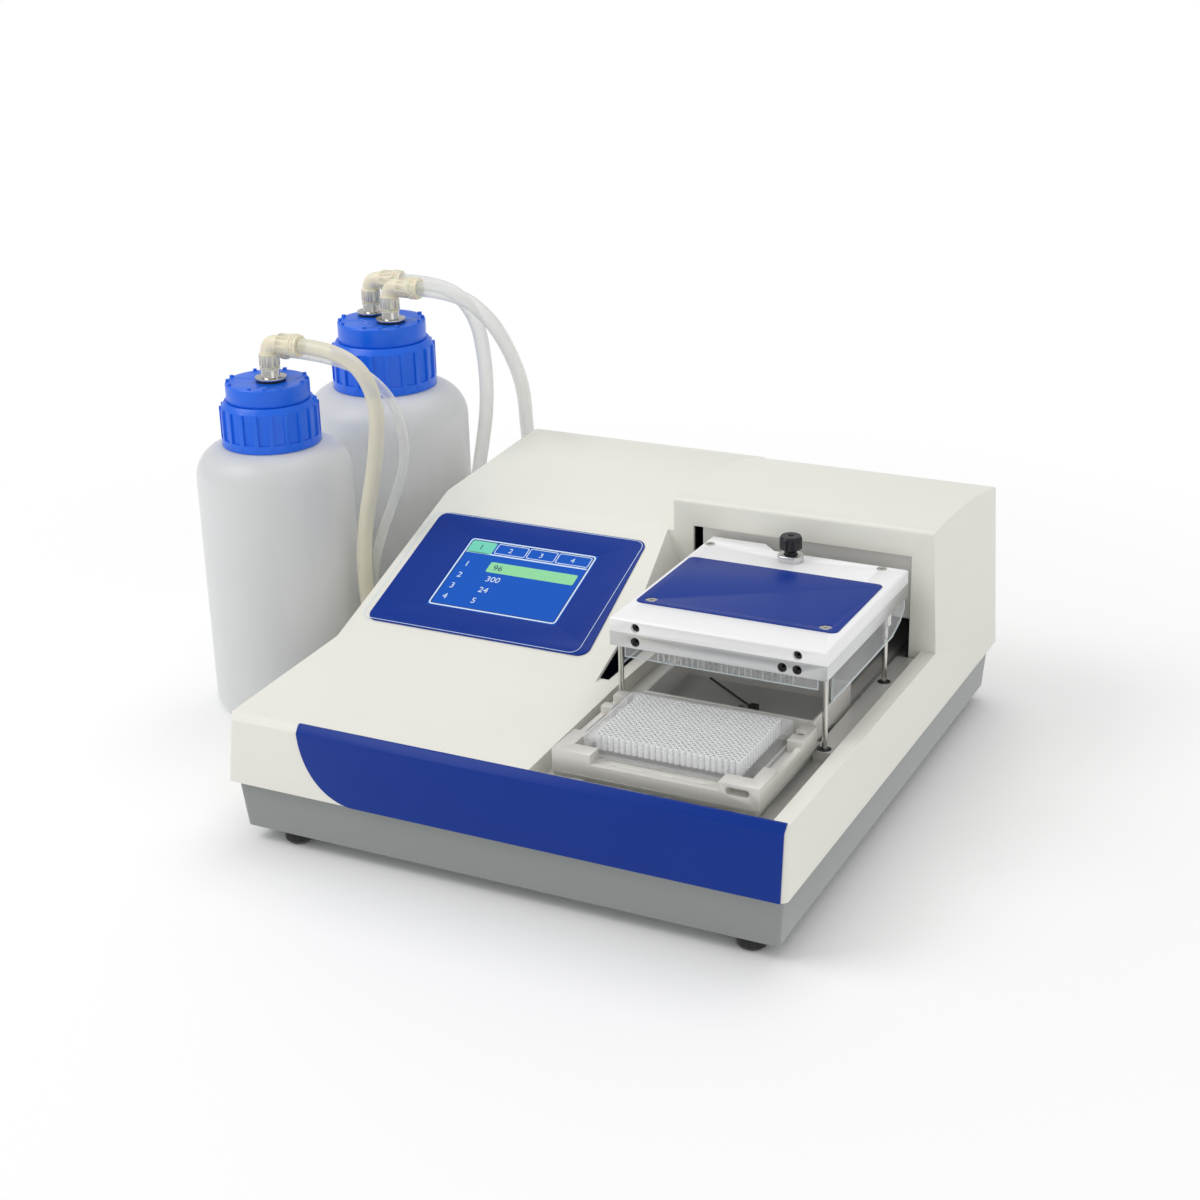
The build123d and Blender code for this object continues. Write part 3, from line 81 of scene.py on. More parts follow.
# Sizes and colours that a user would change

class WasherSizes(bpy.types.PropertyGroup):
    shell_edge: FloatProperty(name="Shell edge", description="Rounding of the cover's edges", default=2.4 * MM,
                              min=0.0, unit="LENGTH")
    base_edge: FloatProperty(name="Base edge", description="Rounding of the base's edges", default=0.8 * MM,
                             min=0.0, unit="LENGTH")
    metal_edge: FloatProperty(name="Metal edge", description="Broken edges of machined pieces",
                              default=0.35 * MM, min=0.0, unit="LENGTH")
    film_edge: FloatProperty(name="Film edge", description="Rounding of panels and labels", default=0.25 * MM,
                             min=0.0, unit="LENGTH")
    turn_steps: IntProperty(name="Steps of a turn", description="Faces round a turned piece", default=72, min=12)


class WasherColours(bpy.types.PropertyGroup):
    shell: FloatVectorProperty(name="Shell", description="Moulded cover", subtype="COLOR", size=3,
                               default=tone("E8E7DE")[:3])
    base: FloatVectorProperty(name="Base", description="Painted steel base", subtype="COLOR", size=3,
                              default=tone("8B8F8E")[:3])
    film: FloatVectorProperty(name="Blue film", description="Printed panels and band", subtype="COLOR", size=3,
                              default=tone("00308C")[:3])
    cap: FloatVectorProperty(name="Caps", description="Bottle caps", subtype="COLOR", size=3,
                             default=tone("0A66E6")[:3])
    bottle: FloatVectorProperty(name="Bottles", description="Natural polyethylene", subtype="COLOR", size=3,
                                default=tone("EEF0F0")[:3])
    fitting: FloatVectorProperty(name="Fittings", description="Ivory elbows", subtype="COLOR", size=3,
                                 default=tone("E7E1C8")[:3])


# Materials

def node(tree, kind, inputs=None, **settings):
    """Adds a node; inputs maps a socket's name or index to a value or to another node's output."""
    new = tree.nodes.new(kind)
    for key, value in settings.items():
        setattr(new, key, value)
    for key, value in (inputs or {}).items():
        socket = new.inputs[key]
        if isinstance(value, bpy.types.NodeSocket):
            tree.links.new(value, socket)
        else:
            socket.default_value = value
    return new


def surface(name, colour, roughness, **sockets):
    """A material with one shader of constant values; returns it with its tree and shader."""
    material = bpy.data.materials.new(name)
    material.use_nodes = True
    tree = material.node_tree
    shader = tree.nodes["Principled BSDF"]
    shader.inputs["Base Color"].default_value = (*colour[:3], 1.0)
    shader.inputs["Roughness"].default_value = roughness
    for key, value in sockets.items():
        shader.inputs[key.replace("_", " ")].default_value = value
    return material, tree, shader


def grain(tree, shader, size, height, colour=None, spread=0.0, detail=2.0, stretch=(1, 1, 1)):
    """Fine relief of a given size in metres, with an optional slight drift of the colour."""
    place = node(tree, "ShaderNodeTexCoord")
    mapping = node(tree, "ShaderNodeMapping", {"Vector": place.outputs["Object"], "Scale": stretch})
    noise = node(tree, "ShaderNodeTexNoise", {"Vector": mapping.outputs[0], "Scale": 1 / size, "Detail": detail})
    bump = node(tree, "ShaderNodeBump", {"Height": noise.outputs[0], "Distance": height, "Strength": 1.0})
    tree.links.new(bump.outputs[0], shader.inputs["Normal"])
    if colour is not None:
        drift = node(tree, "ShaderNodeTexNoise", {"Vector": place.outputs["Object"], "Scale": 18.0, "Detail": 3.0})
        low = [c * (1 - spread) for c in colour[:3]] + [1.0]
        high = [min(c * (1 + spread), 1.0) for c in colour[:3]] + [1.0]
        ramp = node(tree, "ShaderNodeMix", {0: drift.outputs[0], 6: low, 7: high}, data_type="RGBA")
        tree.links.new(ramp.outputs[2], shader.inputs["Base Color"])
    return noise


def make_materials():
    """All finishes of the object, by a short key."""
    colours = bpy.context.scene.washer_colours
    made = {}

    # Spark-textured ABS, injection moulded: matt cream with a fine even grain and a soft wide highlight.
    # The real grain of about 0.1 mm is drawn at 0.7 mm so that it shows.
    made["shell"], tree, shader = surface("moulded_abs_cream", colours.shell, 0.42, IOR=1.53)
    grain(tree, shader, 0.7 * MM, 0.02 * MM, colours.shell, 0.015)

    # Powder-coated sheet steel: satin grey with a faint orange peel.
    made["base"], tree, shader = surface("powder_coated_steel_grey", colours.base, 0.38, IOR=1.5)
    grain(tree, shader, 1.2 * MM, 0.03 * MM, colours.base, 0.03)

    # Screen-printed polyester film: deep even blue under a smooth clear face.
    made["film"], tree, shader = surface("printed_polyester_blue", colours.film, 0.36, IOR=1.5,
                                         Coat_Weight=0.04, Coat_Roughness=0.15, Specular_IOR_Level=0.18)
    grain(tree, shader, 1.5 * MM, 0.006 * MM, colours.film, 0.05)

    # Powder-coated aluminium: clean white with a low satin gloss.
    made["white"], tree, shader = surface("powder_coated_aluminium_white", tone("F3F3F4"), 0.33, IOR=1.5)
    grain(tree, shader, 0.9 * MM, 0.015 * MM, tone("F3F3F4"), 0.01)

    # Brushed stainless sheet: fine streaks along the piece that widen the highlight across them.
    made["steel"], tree, shader = surface("brushed_stainless_steel", tone("C9C9C7"), 0.26, Metallic=1.0)
    grain(tree, shader, 0.5 * MM, 0.012 * MM, tone("C9C9C7"), 0.06, stretch=(0.06, 1, 1))

    # Milled and clear-anodised aluminium: bright, even, with faint cutter lines.
    made["aluminium"], tree, shader = surface("milled_anodised_aluminium", tone("CFD0D1"), 0.34, Metallic=1.0)
    grain(tree, shader, 0.6 * MM, 0.010 * MM, tone("CFD0D1"), 0.05, stretch=(1, 0.08, 1))

    # Bead-blasted, hard-anodised aluminium of the carrier: warm grey and nearly matt.
    made["carrier"], tree, shader = surface("blasted_anodised_aluminium_warm", tone("D8D6D0"), 0.45, Metallic=0.4)
    grain(tree, shader, 0.5 * MM, 0.02 * MM, tone("D8D6D0"), 0.05)

    # Glass-blasted stainless sheet of the trough: satin, light grey, without direction.
    made["satin"], tree, shader = surface("blasted_stainless_sheet", tone("DDDCD8"), 0.4, Metallic=0.45)
    grain(tree, shader, 0.4 * MM, 0.012 * MM, tone("DDDCD8"), 0.05)

    # Turned steel of stems and posts: smooth, with rings too fine to see.
    made["turned"], tree, shader = surface("turned_stainless_steel", tone("CDCBC6"), 0.2, Metallic=1.0)
    grain(tree, shader, 0.4 * MM, 0.006 * MM, stretch=(0.1, 0.1, 1))

    # Glass-filled nylon and acetal: black, slightly uneven sheen. On the front sockets the black is painted shade for
    # the dark socket holes, and on the bay liner it is partly painted shade for the dark inside of the bay.
    made["black"], tree, shader = surface("moulded_acetal_black_and_painted_shade", tone("16171A"), 0.36, IOR=1.48)
    grain(tree, shader, 0.8 * MM, 0.02 * MM, tone("16171A"), 0.2)

    # Nitrile rubber: dull black.
    made["rubber"], tree, shader = surface("nitrile_rubber_black", tone("1B1B1B"), 0.7, IOR=1.5)
    grain(tree, shader, 0.9 * MM, 0.04 * MM, tone("1B1B1B"), 0.15)

    # Blow-moulded natural polyethylene: milky white that light passes into, waxy surface.
    made["bottle"], tree, shader = surface("natural_polyethylene_milky", colours.bottle, 0.38, IOR=1.52,
                                           Subsurface_Weight=0.6, Subsurface_Scale=0.012)
    shader.inputs["Subsurface Radius"].default_value = (1.0, 0.98, 0.94)
    grain(tree, shader, 9 * MM, 0.05 * MM)

    # Injection-moulded polypropylene: saturated blue with a soft gloss.
    made["cap"], tree, shader = surface("moulded_polypropylene_blue", colours.cap, 0.33, IOR=1.49,
                                        Subsurface_Weight=0.1, Subsurface_Scale=0.002)
    grain(tree, shader, 1.0 * MM, 0.015 * MM, colours.cap, 0.05)

    # Acetal copolymer: ivory, slightly waxy.
    made["ivory"], tree, shader = surface("moulded_acetal_ivory", colours.fitting, 0.33, IOR=1.48,
                                          Subsurface_Weight=0.25, Subsurface_Scale=0.003)
    grain(tree, shader, 1.0 * MM, 0.012 * MM, colours.fitting, 0.03)

    # Cast acrylic sheet: clear, edges that catch the light.
    made["clear"], tree, shader = surface("cast_acrylic_clear", tone("F4F8FA"), 0.04, IOR=1.49, Alpha=0.16)
    grain(tree, shader, 20 * MM, 0.02 * MM)

    # Injection-moulded polystyrene of the well plate: clear, with bright edges.
    made["plate"], tree, shader = surface("moulded_polystyrene_clear", tone("F6F8FA"), 0.1, IOR=1.59, Alpha=0.28)
    grain(tree, shader, 3 * MM, 0.01 * MM)

    # Walls of its wells, seen end on: the same polystyrene, painted near-white and nearly opaque as a painted
    # highlight that stands for the light refracted where many walls lie behind each other.
    made["well_painted_highlight"], tree, shader = surface("moulded_polystyrene_wells_painted_highlight", tone("FDFEFE"), 0.25, IOR=1.59, Alpha=0.85)
    grain(tree, shader, 2 * MM, 0.008 * MM)

    # Sawn and polished edges of the acrylic sheets: painted highlight, a near-white and nearly opaque colour standing
    # for the light that the sheet gathers into its edges.
    made["edge"], tree, shader = surface("cast_acrylic_edge_painted_highlight", tone("E4EEF2"), 0.15, IOR=1.49, Alpha=0.85)
    grain(tree, shader, 1 * MM, 0.01 * MM)

    # Lit liquid-crystal display: even blue with a grid of cells half a millimetre wide.
    made["screen"], tree, shader = surface("lit_lcd_blue", tone("0052B8"), 0.3, IOR=1.5, Specular_IOR_Level=0.2,
                                           Emission_Strength=0.1)
    place = node(tree, "ShaderNodeTexCoord")
    cells = node(tree, "ShaderNodeTexBrick", {"Vector": place.outputs["Object"], "Scale": 1.0,
                                              "Color1": tone("0056C0"), "Color2": tone("0052B8"),
                                              "Mortar": tone("0048A6"), "Mortar Size": 0.05 * MM,
                                              "Brick Width": 0.6 * MM, "Row Height": 0.6 * MM}, offset=0.0)
    tree.links.new(cells.outputs["Color"], shader.inputs["Base Color"])
    tree.links.new(cells.outputs["Color"], shader.inputs["Emission Color"])

    # Inks of the display's picture: flat, slightly raised in the render so that they read from the side.
    for key, name, code in (("ink_pale", "display_ink_pale", "D5E6FA"), ("ink_teal", "display_ink_teal", "6FD3B8"),
                            ("ink_green", "display_ink_green", "8ED8A0"), ("ink_dark", "display_ink_dark", "0A2F66")):
        made[key], tree, shader = surface(name, tone(code), 0.4, IOR=1.45)
        grain(tree, shader, 0.6 * MM, 0.004 * MM, tone(code), 0.03)

    made["hose_clear"] = hose_material("extruded_pvc_clear", tone("E9EAE6"), 0.34)
    made["hose_cream"] = hose_material("extruded_pvc_aged", tone("E8E3CE"), 0.62)
    return made


def hose_material(name, colour, centre):
    """Soft PVC hose: clear in the middle and denser towards its edges, where the wall is seen end on."""
    material, tree, shader = surface(name, colour, 0.16, IOR=1.53)
    facing = node(tree, "ShaderNodeLayerWeight", {"Blend": 0.35})
    wall = node(tree, "ShaderNodeMapRange", {0: facing.outputs["Facing"], 1: 0.0, 2: 0.9, 3: centre, 4: 0.95})
    tree.links.new(wall.outputs[0], shader.inputs["Alpha"])
    return material


# Helpers for pieces

def nothing_selected():
    if bpy.context.object is not None and bpy.context.object.mode != "OBJECT":
        bpy.ops.object.mode_set(mode="OBJECT")
    bpy.ops.object.select_all(action="DESELECT")


def only(obj):
    nothing_selected()
    obj.select_set(True)
    bpy.context.view_layer.objects.active = obj


def settle(obj, body, material, slot, *nodes, smooth=30):
    """Puts a finished piece's place into its mesh, gives it its finish and ties it to its body."""
    only(obj)
    bpy.ops.object.transform_apply(location=True, rotation=True, scale=True)
    if smooth:
        bpy.ops.object.shade_smooth_by_angle(angle=math.radians(smooth))
    obj.data.materials.clear()
    obj.data.materials.append(finish[material])
    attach(obj, body)
    if nodes:
        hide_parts(*nodes)
    return obj


def bevelled(obj, width, segments=2, angle=30):
    only(obj)
    bevel = obj.modifiers.new("edge", "BEVEL")
    bevel.width = width
    bevel.segments = segments
    bevel.limit_method = "ANGLE"
    bevel.angle_limit = math.radians(angle)
    bevel.use_clamp_overlap = True
    bevel.miter_outer = "MITER_ARC"
    bpy.ops.object.modifier_apply(modifier=bevel.name)
    return obj


def merged_copy(name):
    """Copy of a CAD node as one clean mesh: its triangles joined, and flat areas made single faces."""
    nothing_selected()
    source = frame["nodes"][name]
    obj = bpy.data.objects.new(name + "_finish", source.data.copy())
    bpy.context.scene.collection.objects.link(obj)
    only(obj)
    bpy.ops.object.mode_set(mode="EDIT")
    bpy.ops.mesh.select_all(action="SELECT")
    bpy.ops.mesh.remove_doubles(threshold=0.004 * MM)
    bpy.ops.mesh.dissolve_limited(angle_limit=math.radians(0.4))
    bpy.ops.object.mode_set(mode="OBJECT")
    return obj


def body_of(name):
    return next(body for body, members in frame["record"]["behaviour"]["bodies"].items() if name in members)


def slot_of(name):
    return next(part["material_slot"] for part in frame["record"]["subparts"] if part["node"] == name)


def dress(name, material, width, segments=2, angle=30):
    """Replaces a CAD node by a clean copy with broken edges and the given finish."""
    obj = merged_copy(name)
    if width:
        bevelled(obj, width, segments, angle)
    return settle(obj, body_of(name), material, slot_of(name), name)


def paint(name, material):
    """Gives a CAD node whose shape is right its finish."""
    obj = frame["nodes"][name]
    obj.data.materials.clear()
    obj.data.materials.append(finish[material])


finish = {}


def joined(pieces, name):
    """One object of several, named for the piece that it shows."""
    nothing_selected()
    for piece in pieces:
        piece.select_set(True)
    bpy.context.view_layer.objects.active = pieces[0]
    if len(pieces) > 1:
        bpy.ops.object.join()
    pieces[0].name = name
    return pieces[0]


# Top of the clip that holds the thin rod of the level probe
PROBE_CLIP_TOP = 103.1 * MM

# Wells of the plate
WELL_COLS = 24
WELL_ROWS = 16
WELL_PITCH = 4.5 * MM
WELL_DEEP = 11.0 * MM

# Height of the display's face over the console, and of its picture over that face, in millimetres
FACE_H = 0.6
PANEL_H = 1.0
INK_H = 0.12


def card(x0, x1, s0, s1, radius, line=0.0, h=FACE_H, lean=0.0):
    """Thin plate with rounded corners on the console, or only its rim where a line width is given.

    A lean draws its upper right corner to the left by so many millimetres.
    """
    nothing_selected()
    bpy.ops.mesh.primitive_plane_add(size=1, location=on_slope((x0 + x1) / 2, (s0 + s1) / 2, h),
                                     rotation=(SLOPE, 0, 0))
    plate = bpy.context.object
    plate.scale = ((x1 - x0) * MM, (s1 - s0) * MM, 1)
    bpy.ops.object.transform_apply(location=False, rotation=False, scale=True)
    for corner in plate.data.vertices:
        corner.select = corner.co.x > 0 and corner.co.y > 0
    bpy.context.tool_settings.mesh_select_mode = (True, False, False)
    if lean:
        bpy.ops.object.mode_set(mode="EDIT")
        bpy.ops.transform.translate(value=(-lean * MM, 0, 0))
    bpy.ops.object.mode_set(mode="EDIT")
    bpy.ops.mesh.select_all(action="SELECT")
    bpy.ops.mesh.bevel(offset=radius * MM, segments=5, affect="VERTICES")
    if line:
        bpy.ops.mesh.select_all(action="SELECT")
        bpy.ops.mesh.inset(thickness=line * MM, depth=0)
        bpy.ops.mesh.delete(type="FACE")
    bpy.ops.object.mode_set(mode="OBJECT")
    thick = plate.modifiers.new("thick", "SOLIDIFY")
    thick.thickness = INK_H * MM
    thick.offset = 1
    bpy.ops.object.modifier_apply(modifier=thick.name)
    bpy.ops.object.transform_apply(location=True, rotation=True, scale=True)
    return plate


def figure(text, x, s, size, h=FACE_H + INK_H):
    """Plain number on the display, its foot at x and s."""
    nothing_selected()
    bpy.ops.object.text_add(location=on_slope(x, s, h), rotation=(SLOPE, 0, 0))
    number = bpy.context.object
    number.data.body = text
    number.data.size = size * MM
    number.data.extrude = 0.05 * MM
    number.data.resolution_u = 4
    bpy.ops.object.convert(target="MESH")
    bpy.ops.object.transform_apply(location=True, rotation=True, scale=True)
    return bpy.context.object


# Hoses: the same points as in the model, in millimetres from the body's front left corner

def outlet(stem_x, stem_y, top, scale, yaw, run=0.0):
    """Point on the axis of an elbow's outlet, a run beyond its mouth."""
    reach = 31.0 * scale + run
    turn = math.radians(yaw)
    return (stem_x + reach * math.cos(turn), stem_y + reach * math.sin(turn), top + 31.5 * scale)


def barb(k, run=0.0):
    """Point on the axis of a barb at the back, a run beyond its mouth."""
    return (55.0 + 30.0 * k, 498.5 + run, 89.0)


FRONT_TOP = 280.5
REAR_TOP = 237.0 + 51.5 * 1.125
HOSES = {
    "waste_hose": (12.7, 854.8, "hose_cream", [
        outlet(-106, 240, FRONT_TOP, 1.0, 0), outlet(-106, 240, FRONT_TOP, 1.0, 0, 42),
        (-5, 240, 281), (-9, 240.5, 228), (-30, 242, 150), (-31, 246, 84), (-26, 262, 32), (-16, 325, 13),
        (-14, 420, 15), (-15, 520, 13), (15, 575, 22), (80, 592, 45), (130, 566, 76), barb(3, 41.5), barb(3)]),
    "vent_hose": (8.0, 742.3, "hose_clear", [
        outlet(-119, 259, FRONT_TOP, 0.6, 0), outlet(-119, 259, FRONT_TOP, 0.6, 0, 52.4),
        (-6, 260, 277), (7, 260, 240), (1, 260, 203), (-26, 260, 145), (-37, 262, 100), (-34, 275, 52),
        (-22, 330, 32), (-16, 430, 31), (-14, 520, 32), (0, 556, 38), (30, 572, 54), (53, 550, 76),
        barb(0, 27.5), barb(0)]),
    "wash_hose_1": (12.7, 543.2, "hose_clear", [
        outlet(-117, 412, REAR_TOP, 1.0, 8), outlet(-117, 412, REAR_TOP, 1.0, 8, 41.7),
        (-20, 427.5, 300), (-16, 433, 258), (-24, 447, 212), (-42, 464, 163), (-60, 478, 112), (-47, 528, 72),
        (-5, 566, 68), (33, 578, 79), (67, 568, 87), barb(1, 45.5), barb(1)]),
    "wash_hose_2": (12.7, 511.2, "hose_clear", [
        outlet(-87, 395, REAR_TOP, 1.0, 0), outlet(-87, 395, REAR_TOP, 1.0, 0, 38),
        (8, 405, 303), (9, 436, 265), (1, 470, 225), (-14, 500, 180), (-22, 520, 140), (-10, 556, 116),
        (20, 579, 108), (60, 583, 104), (99, 570, 95), barb(2, 47.5), barb(2)]),
}


class WASHER_OT_camera(bpy.types.Operator):
    """Camera at the photograph's viewing angle"""
    bl_idname = "washer.camera"
    bl_label = "Camera"

    def execute(self, context):
        yaw, pitch, roll = (math.radians(a) for a in (26.901, 21.657, -1.377))
        ahead = Vector((-math.sin(yaw) * math.cos(pitch), math.cos(yaw) * math.cos(pitch), -math.sin(pitch)))
        level = Vector((math.cos(yaw), math.sin(yaw), 0))
        upright = level.cross(ahead)
        right = math.cos(roll) * level + math.sin(roll) * upright
        up = math.cos(roll) * upright - math.sin(roll) * level
        data = bpy.data.cameras.new("camera")
        data.sensor_width = 36.0
        data.lens = 36.0 * 2033.108 / 1200
        data.clip_start = 0.05
        data.clip_end = 40.0
        camera = bpy.data.objects.new("camera", data)
        context.scene.collection.objects.link(camera)
        turn = Matrix((right, up, -ahead)).transposed()
        camera.matrix_world = Matrix.Translation(spot(854.741, -1072.184, 718.639)) @ turn.to_4x4()
        context.scene.camera = camera
        return {"FINISHED"}


class WASHER_OT_hoses(bpy.types.Operator):
    """Four soft hoses from the bottles to the barbs at the back"""
    bl_idname = "washer.hoses"
    bl_label = "Hoses"

    def execute(self, context):
        for name, (diameter, length, material, points) in HOSES.items():
            data = bpy.data.curves.new(name + "_line", "CURVE")
            data.dimensions = "3D"
            spline = data.splines.new("NURBS")
            spline.points.add(len(points) - 1)
            for point, place in zip(spline.points, points):
                point.co = (*spot(*place), 1.0)
            spline.order_u = 3
            spline.use_endpoint_u = True
            spline.resolution_u = 12
            data.bevel_depth = diameter / 2 * MM
            data.bevel_resolution = 6
            data.use_fill_caps = True
            data.materials.append(finish[material])
            hose = bpy.data.objects.new(name + "_finish", data)
            context.scene.collection.objects.link(hose)
            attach(hose, "housing")
            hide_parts(name)
        return {"FINISHED"}


class WASHER_OT_housing(bpy.types.Operator):
    """Moulded cover with soft edges, painted base and feet"""
    bl_idname = "washer.housing"
    bl_label = "Cover and base"

    def execute(self, context):
        sizes = context.scene.washer_sizes
        dress("upper_shell", "shell", sizes.shell_edge, 3, 24)
        dress("base_pan", "base", sizes.base_edge)
        dress("rubber_feet", "rubber", 0)
        dress("front_band", "film", sizes.film_edge)
        dress("console_panel", "film", sizes.film_edge)
        for name in ("chassis_plate", "chassis_standoffs", "stage_rails", "runner_blocks"):
            paint(name, "satin")
        # The bay liner is black partly as painted shade, darkening the inside of the bay where shadow falls.
        for name in ("bay_liner", "lift_motor", "stage_motor", "stage_belt", "post_bushings"):
            paint(name, "black")
        return {"FINISHED"}


class WASHER_OT_display(bpy.types.Operator):
    """Lit display in the console"""
    bl_idname = "washer.display"
    bl_label = "Display"

    def execute(self, context):
        dress("display_screen", "screen", 0)
        glass = slot_of("display_screen")
        frame_line = card(57.8, 171.2, 50.8, 131.8, 3.5, 1.3)
        tabs = [card(84, 112, 117.5, 129.5, 1.8, 0.7), card(113.2, 138.2, 117.5, 129.5, 1.8, 0.7),
                card(139.4, 168.6, 117.5, 129.5, 1.8, 0.7)]
        base_line = card(60, 169, 115, 116.4, 0.4)
        rows = [figure(str(k + 1), 66, s, 8.6) for k, s in enumerate((98.5, 85, 72, 59))]
        rows += [figure(text, 92, s, 8.6) for text, s in (("300", 85), ("24", 72), ("5", 59))]
        labels = [figure(str(k + 2), x, 120.6, 7.4) for k, x in enumerate((95.5, 123.2, 151.5))]
        lines = joined([frame_line, *tabs, base_line, *rows, *labels], "display_lines")
        settle(lines, "housing", "ink_pale", glass, smooth=0)
        settle(joined([card(60, 82.5, 115.2, 129.5, 2.2)], "display_tab"), "housing", "ink_teal", glass, smooth=0)
        panel_line = card(17.2, 209.8, 24.2, 156.6, 8, 0.45, PANEL_H, 7)
        settle(joined([panel_line], "console_panel_line"), "housing", "ink_pale", slot_of("console_panel"), smooth=0)
        bar = joined([card(87.5, 165.5, 95.5, 107.5, 1.5)], "display_bar")
        settle(bar, "housing", "ink_green", glass, smooth=0)
        dark = [figure("1", 68.6, 119.8, 8.4), figure("96", 92, 98.5, 8.6)]
        rim = card(59.4, 169.6, 52.4, 130.2, 2.4, 0.5)
        settle(joined([*dark, rim], "display_marks"), "housing", "ink_dark", glass, smooth=0)
        return {"FINISHED"}


class WASHER_OT_wash_head(bpy.types.Operator):
    """Head cover, label, block, screws, knob, posts and shields"""
    bl_idname = "washer.wash_head"
    bl_label = "Wash head"

    def execute(self, context):
        sizes = context.scene.washer_sizes
        dress("head_cover", "white", sizes.metal_edge)
        dress("head_block", "aluminium", sizes.metal_edge)
        dress("head_label", "film", 0.1 * MM)
        dress("head_screws", "turned", 0.15 * MM)
        # The front sockets get the black finish as painted shade: it darkens the socket holes, where shadow falls.
        dress("front_sockets", "black", 0)
        dress("tube_manifold", "steel", 0)
        dress("thumb_collar", "aluminium", 0.15 * MM)
        dress("thumb_screw", "black", 0)
        dress("guide_posts", "turned", 0)
        dress("splash_shields", "clear", 0.1 * MM)
        dress("head_backplate", "satin", 0)
        # A near-white rim on every edge of the shields: painted highlight for the light that the clear sheets gather
        # into their edges.
        edges = merged_copy("splash_shields")
        rim = edges.modifiers.new("rim", "WIREFRAME")
        rim.thickness = 0.8 * MM
        rim.use_even_offset = False
        bpy.ops.object.modifier_apply(modifier=rim.name)
        edges.name = "splash_shield_edges_painted_highlight"
        settle(edges, body_of("splash_shields"), "edge", slot_of("splash_shields"))
        for name in ("lift_yoke", "lift_nut", "lift_screw"):
            paint(name, "aluminium")
        return {"FINISHED"}


class WASHER_OT_stage_table(bpy.types.Operator):
    """Sliding stage with carrier, well plate, clamp and trough"""
    bl_idname = "washer.stage_table"
    bl_label = "Stage"

    def wells(self):
        """The round walls of the plate's 384 wells, one modelled and the others copied in rows."""
        corners = [vertex.co for vertex in frame["nodes"]["microplate"].data.vertices]
        x, y = ((min(c[k] for c in corners) + max(c[k] for c in corners)) / 2 for k in (0, 1))
        top = max(c.z for c in corners) + 0.15 * MM
        start = (x - (WELL_COLS - 1) / 2 * WELL_PITCH, y - (WELL_ROWS - 1) / 2 * WELL_PITCH, top - WELL_DEEP / 2)
        nothing_selected()
        bpy.ops.mesh.primitive_cylinder_add(vertices=20, radius=1.85 * MM, depth=WELL_DEEP, location=start,
                                            end_fill_type="NOTHING")
        wells = bpy.context.object
        wells.name = "microplate_wells"
        wall = wells.modifiers.new("wall", "SOLIDIFY")
        wall.thickness = 0.55 * MM
        wall.offset = 0
        bpy.ops.object.modifier_apply(modifier=wall.name)
        for count, axis in ((WELL_COLS, 0), (WELL_ROWS, 1)):
            row = wells.modifiers.new("row", "ARRAY")
            row.count = count
            row.use_relative_offset = False
            row.use_constant_offset = True
            row.constant_offset_displace = [WELL_PITCH if k == axis else 0.0 for k in range(3)]
            bpy.ops.object.modifier_apply(modifier=row.name)
        # The walls are near-white and nearly opaque: painted highlight for the light refracted through the clear
        # polystyrene.
        settle(wells, body_of("microplate"), "well_painted_highlight", slot_of("microplate"))

    def execute(self, context):
        sizes = context.scene.washer_sizes
        dress("plate_carrier", "carrier", sizes.metal_edge)
        dress("stage_base", "aluminium", sizes.metal_edge)
        dress("wash_trough", "satin", sizes.metal_edge)
        dress("microplate", "plate", 0)
        self.wells()
        dress("plate_clamp", "turned", 0.15 * MM)
        probe = dress("level_probe", "black", 0)
        probe.data.materials.append(finish["turned"])
        for face in probe.data.polygons:
            if face.center.z > PROBE_CLIP_TOP:
                face.material_index = 1
        for name in ("idler_pulley", "drive_pulley"):
            paint(name, "aluminium")
        return {"FINISHED"}


class WASHER_OT_bottles(bpy.types.Operator):
    """Two supply bottles with their caps"""
    bl_idname = "washer.bottles"
    bl_label = "Bottles"

    def execute(self, context):
        for name in ("bottle_front", "bottle_rear"):
            dress(name, "bottle", 0)
        for name in ("cap_ring_front", "cap_ring_rear", "cap_insert_front", "cap_insert_rear"):
            dress(name, "cap", 0.5 * MM)
        paint("dip_tubes", "clear")
        return {"FINISHED"}


class WASHER_OT_fittings(bpy.types.Operator):
    """Elbows, stems and seals on the caps"""
    bl_idname = "washer.fittings"
    bl_label = "Fittings"

    def execute(self, context):
        dress("elbows", "ivory", 0)
        dress("vent_elbow", "ivory", 0)
        dress("fitting_stems", "turned", 0.2 * MM)
        dress("fitting_seals", "rubber", 0)
        return {"FINISHED"}


class WASHER_OT_rear_panel(bpy.types.Operator):
    """Connections at the back"""
    bl_idname = "washer.rear_panel"
    bl_label = "Rear panel"

    def execute(self, context):
        dress("rear_panel", "steel", 0.2 * MM)
        dress("panel_screws", "turned", 0.2 * MM)
        dress("hose_barbs", "turned", 0.2 * MM)
        dress("power_inlet", "black", 0.3 * MM)
        dress("switch_frame", "black", 0.3 * MM)
        dress("power_switch", "black", 0.3 * MM)
        dress("serial_port", "steel", 0.2 * MM)
        return {"FINISHED"}


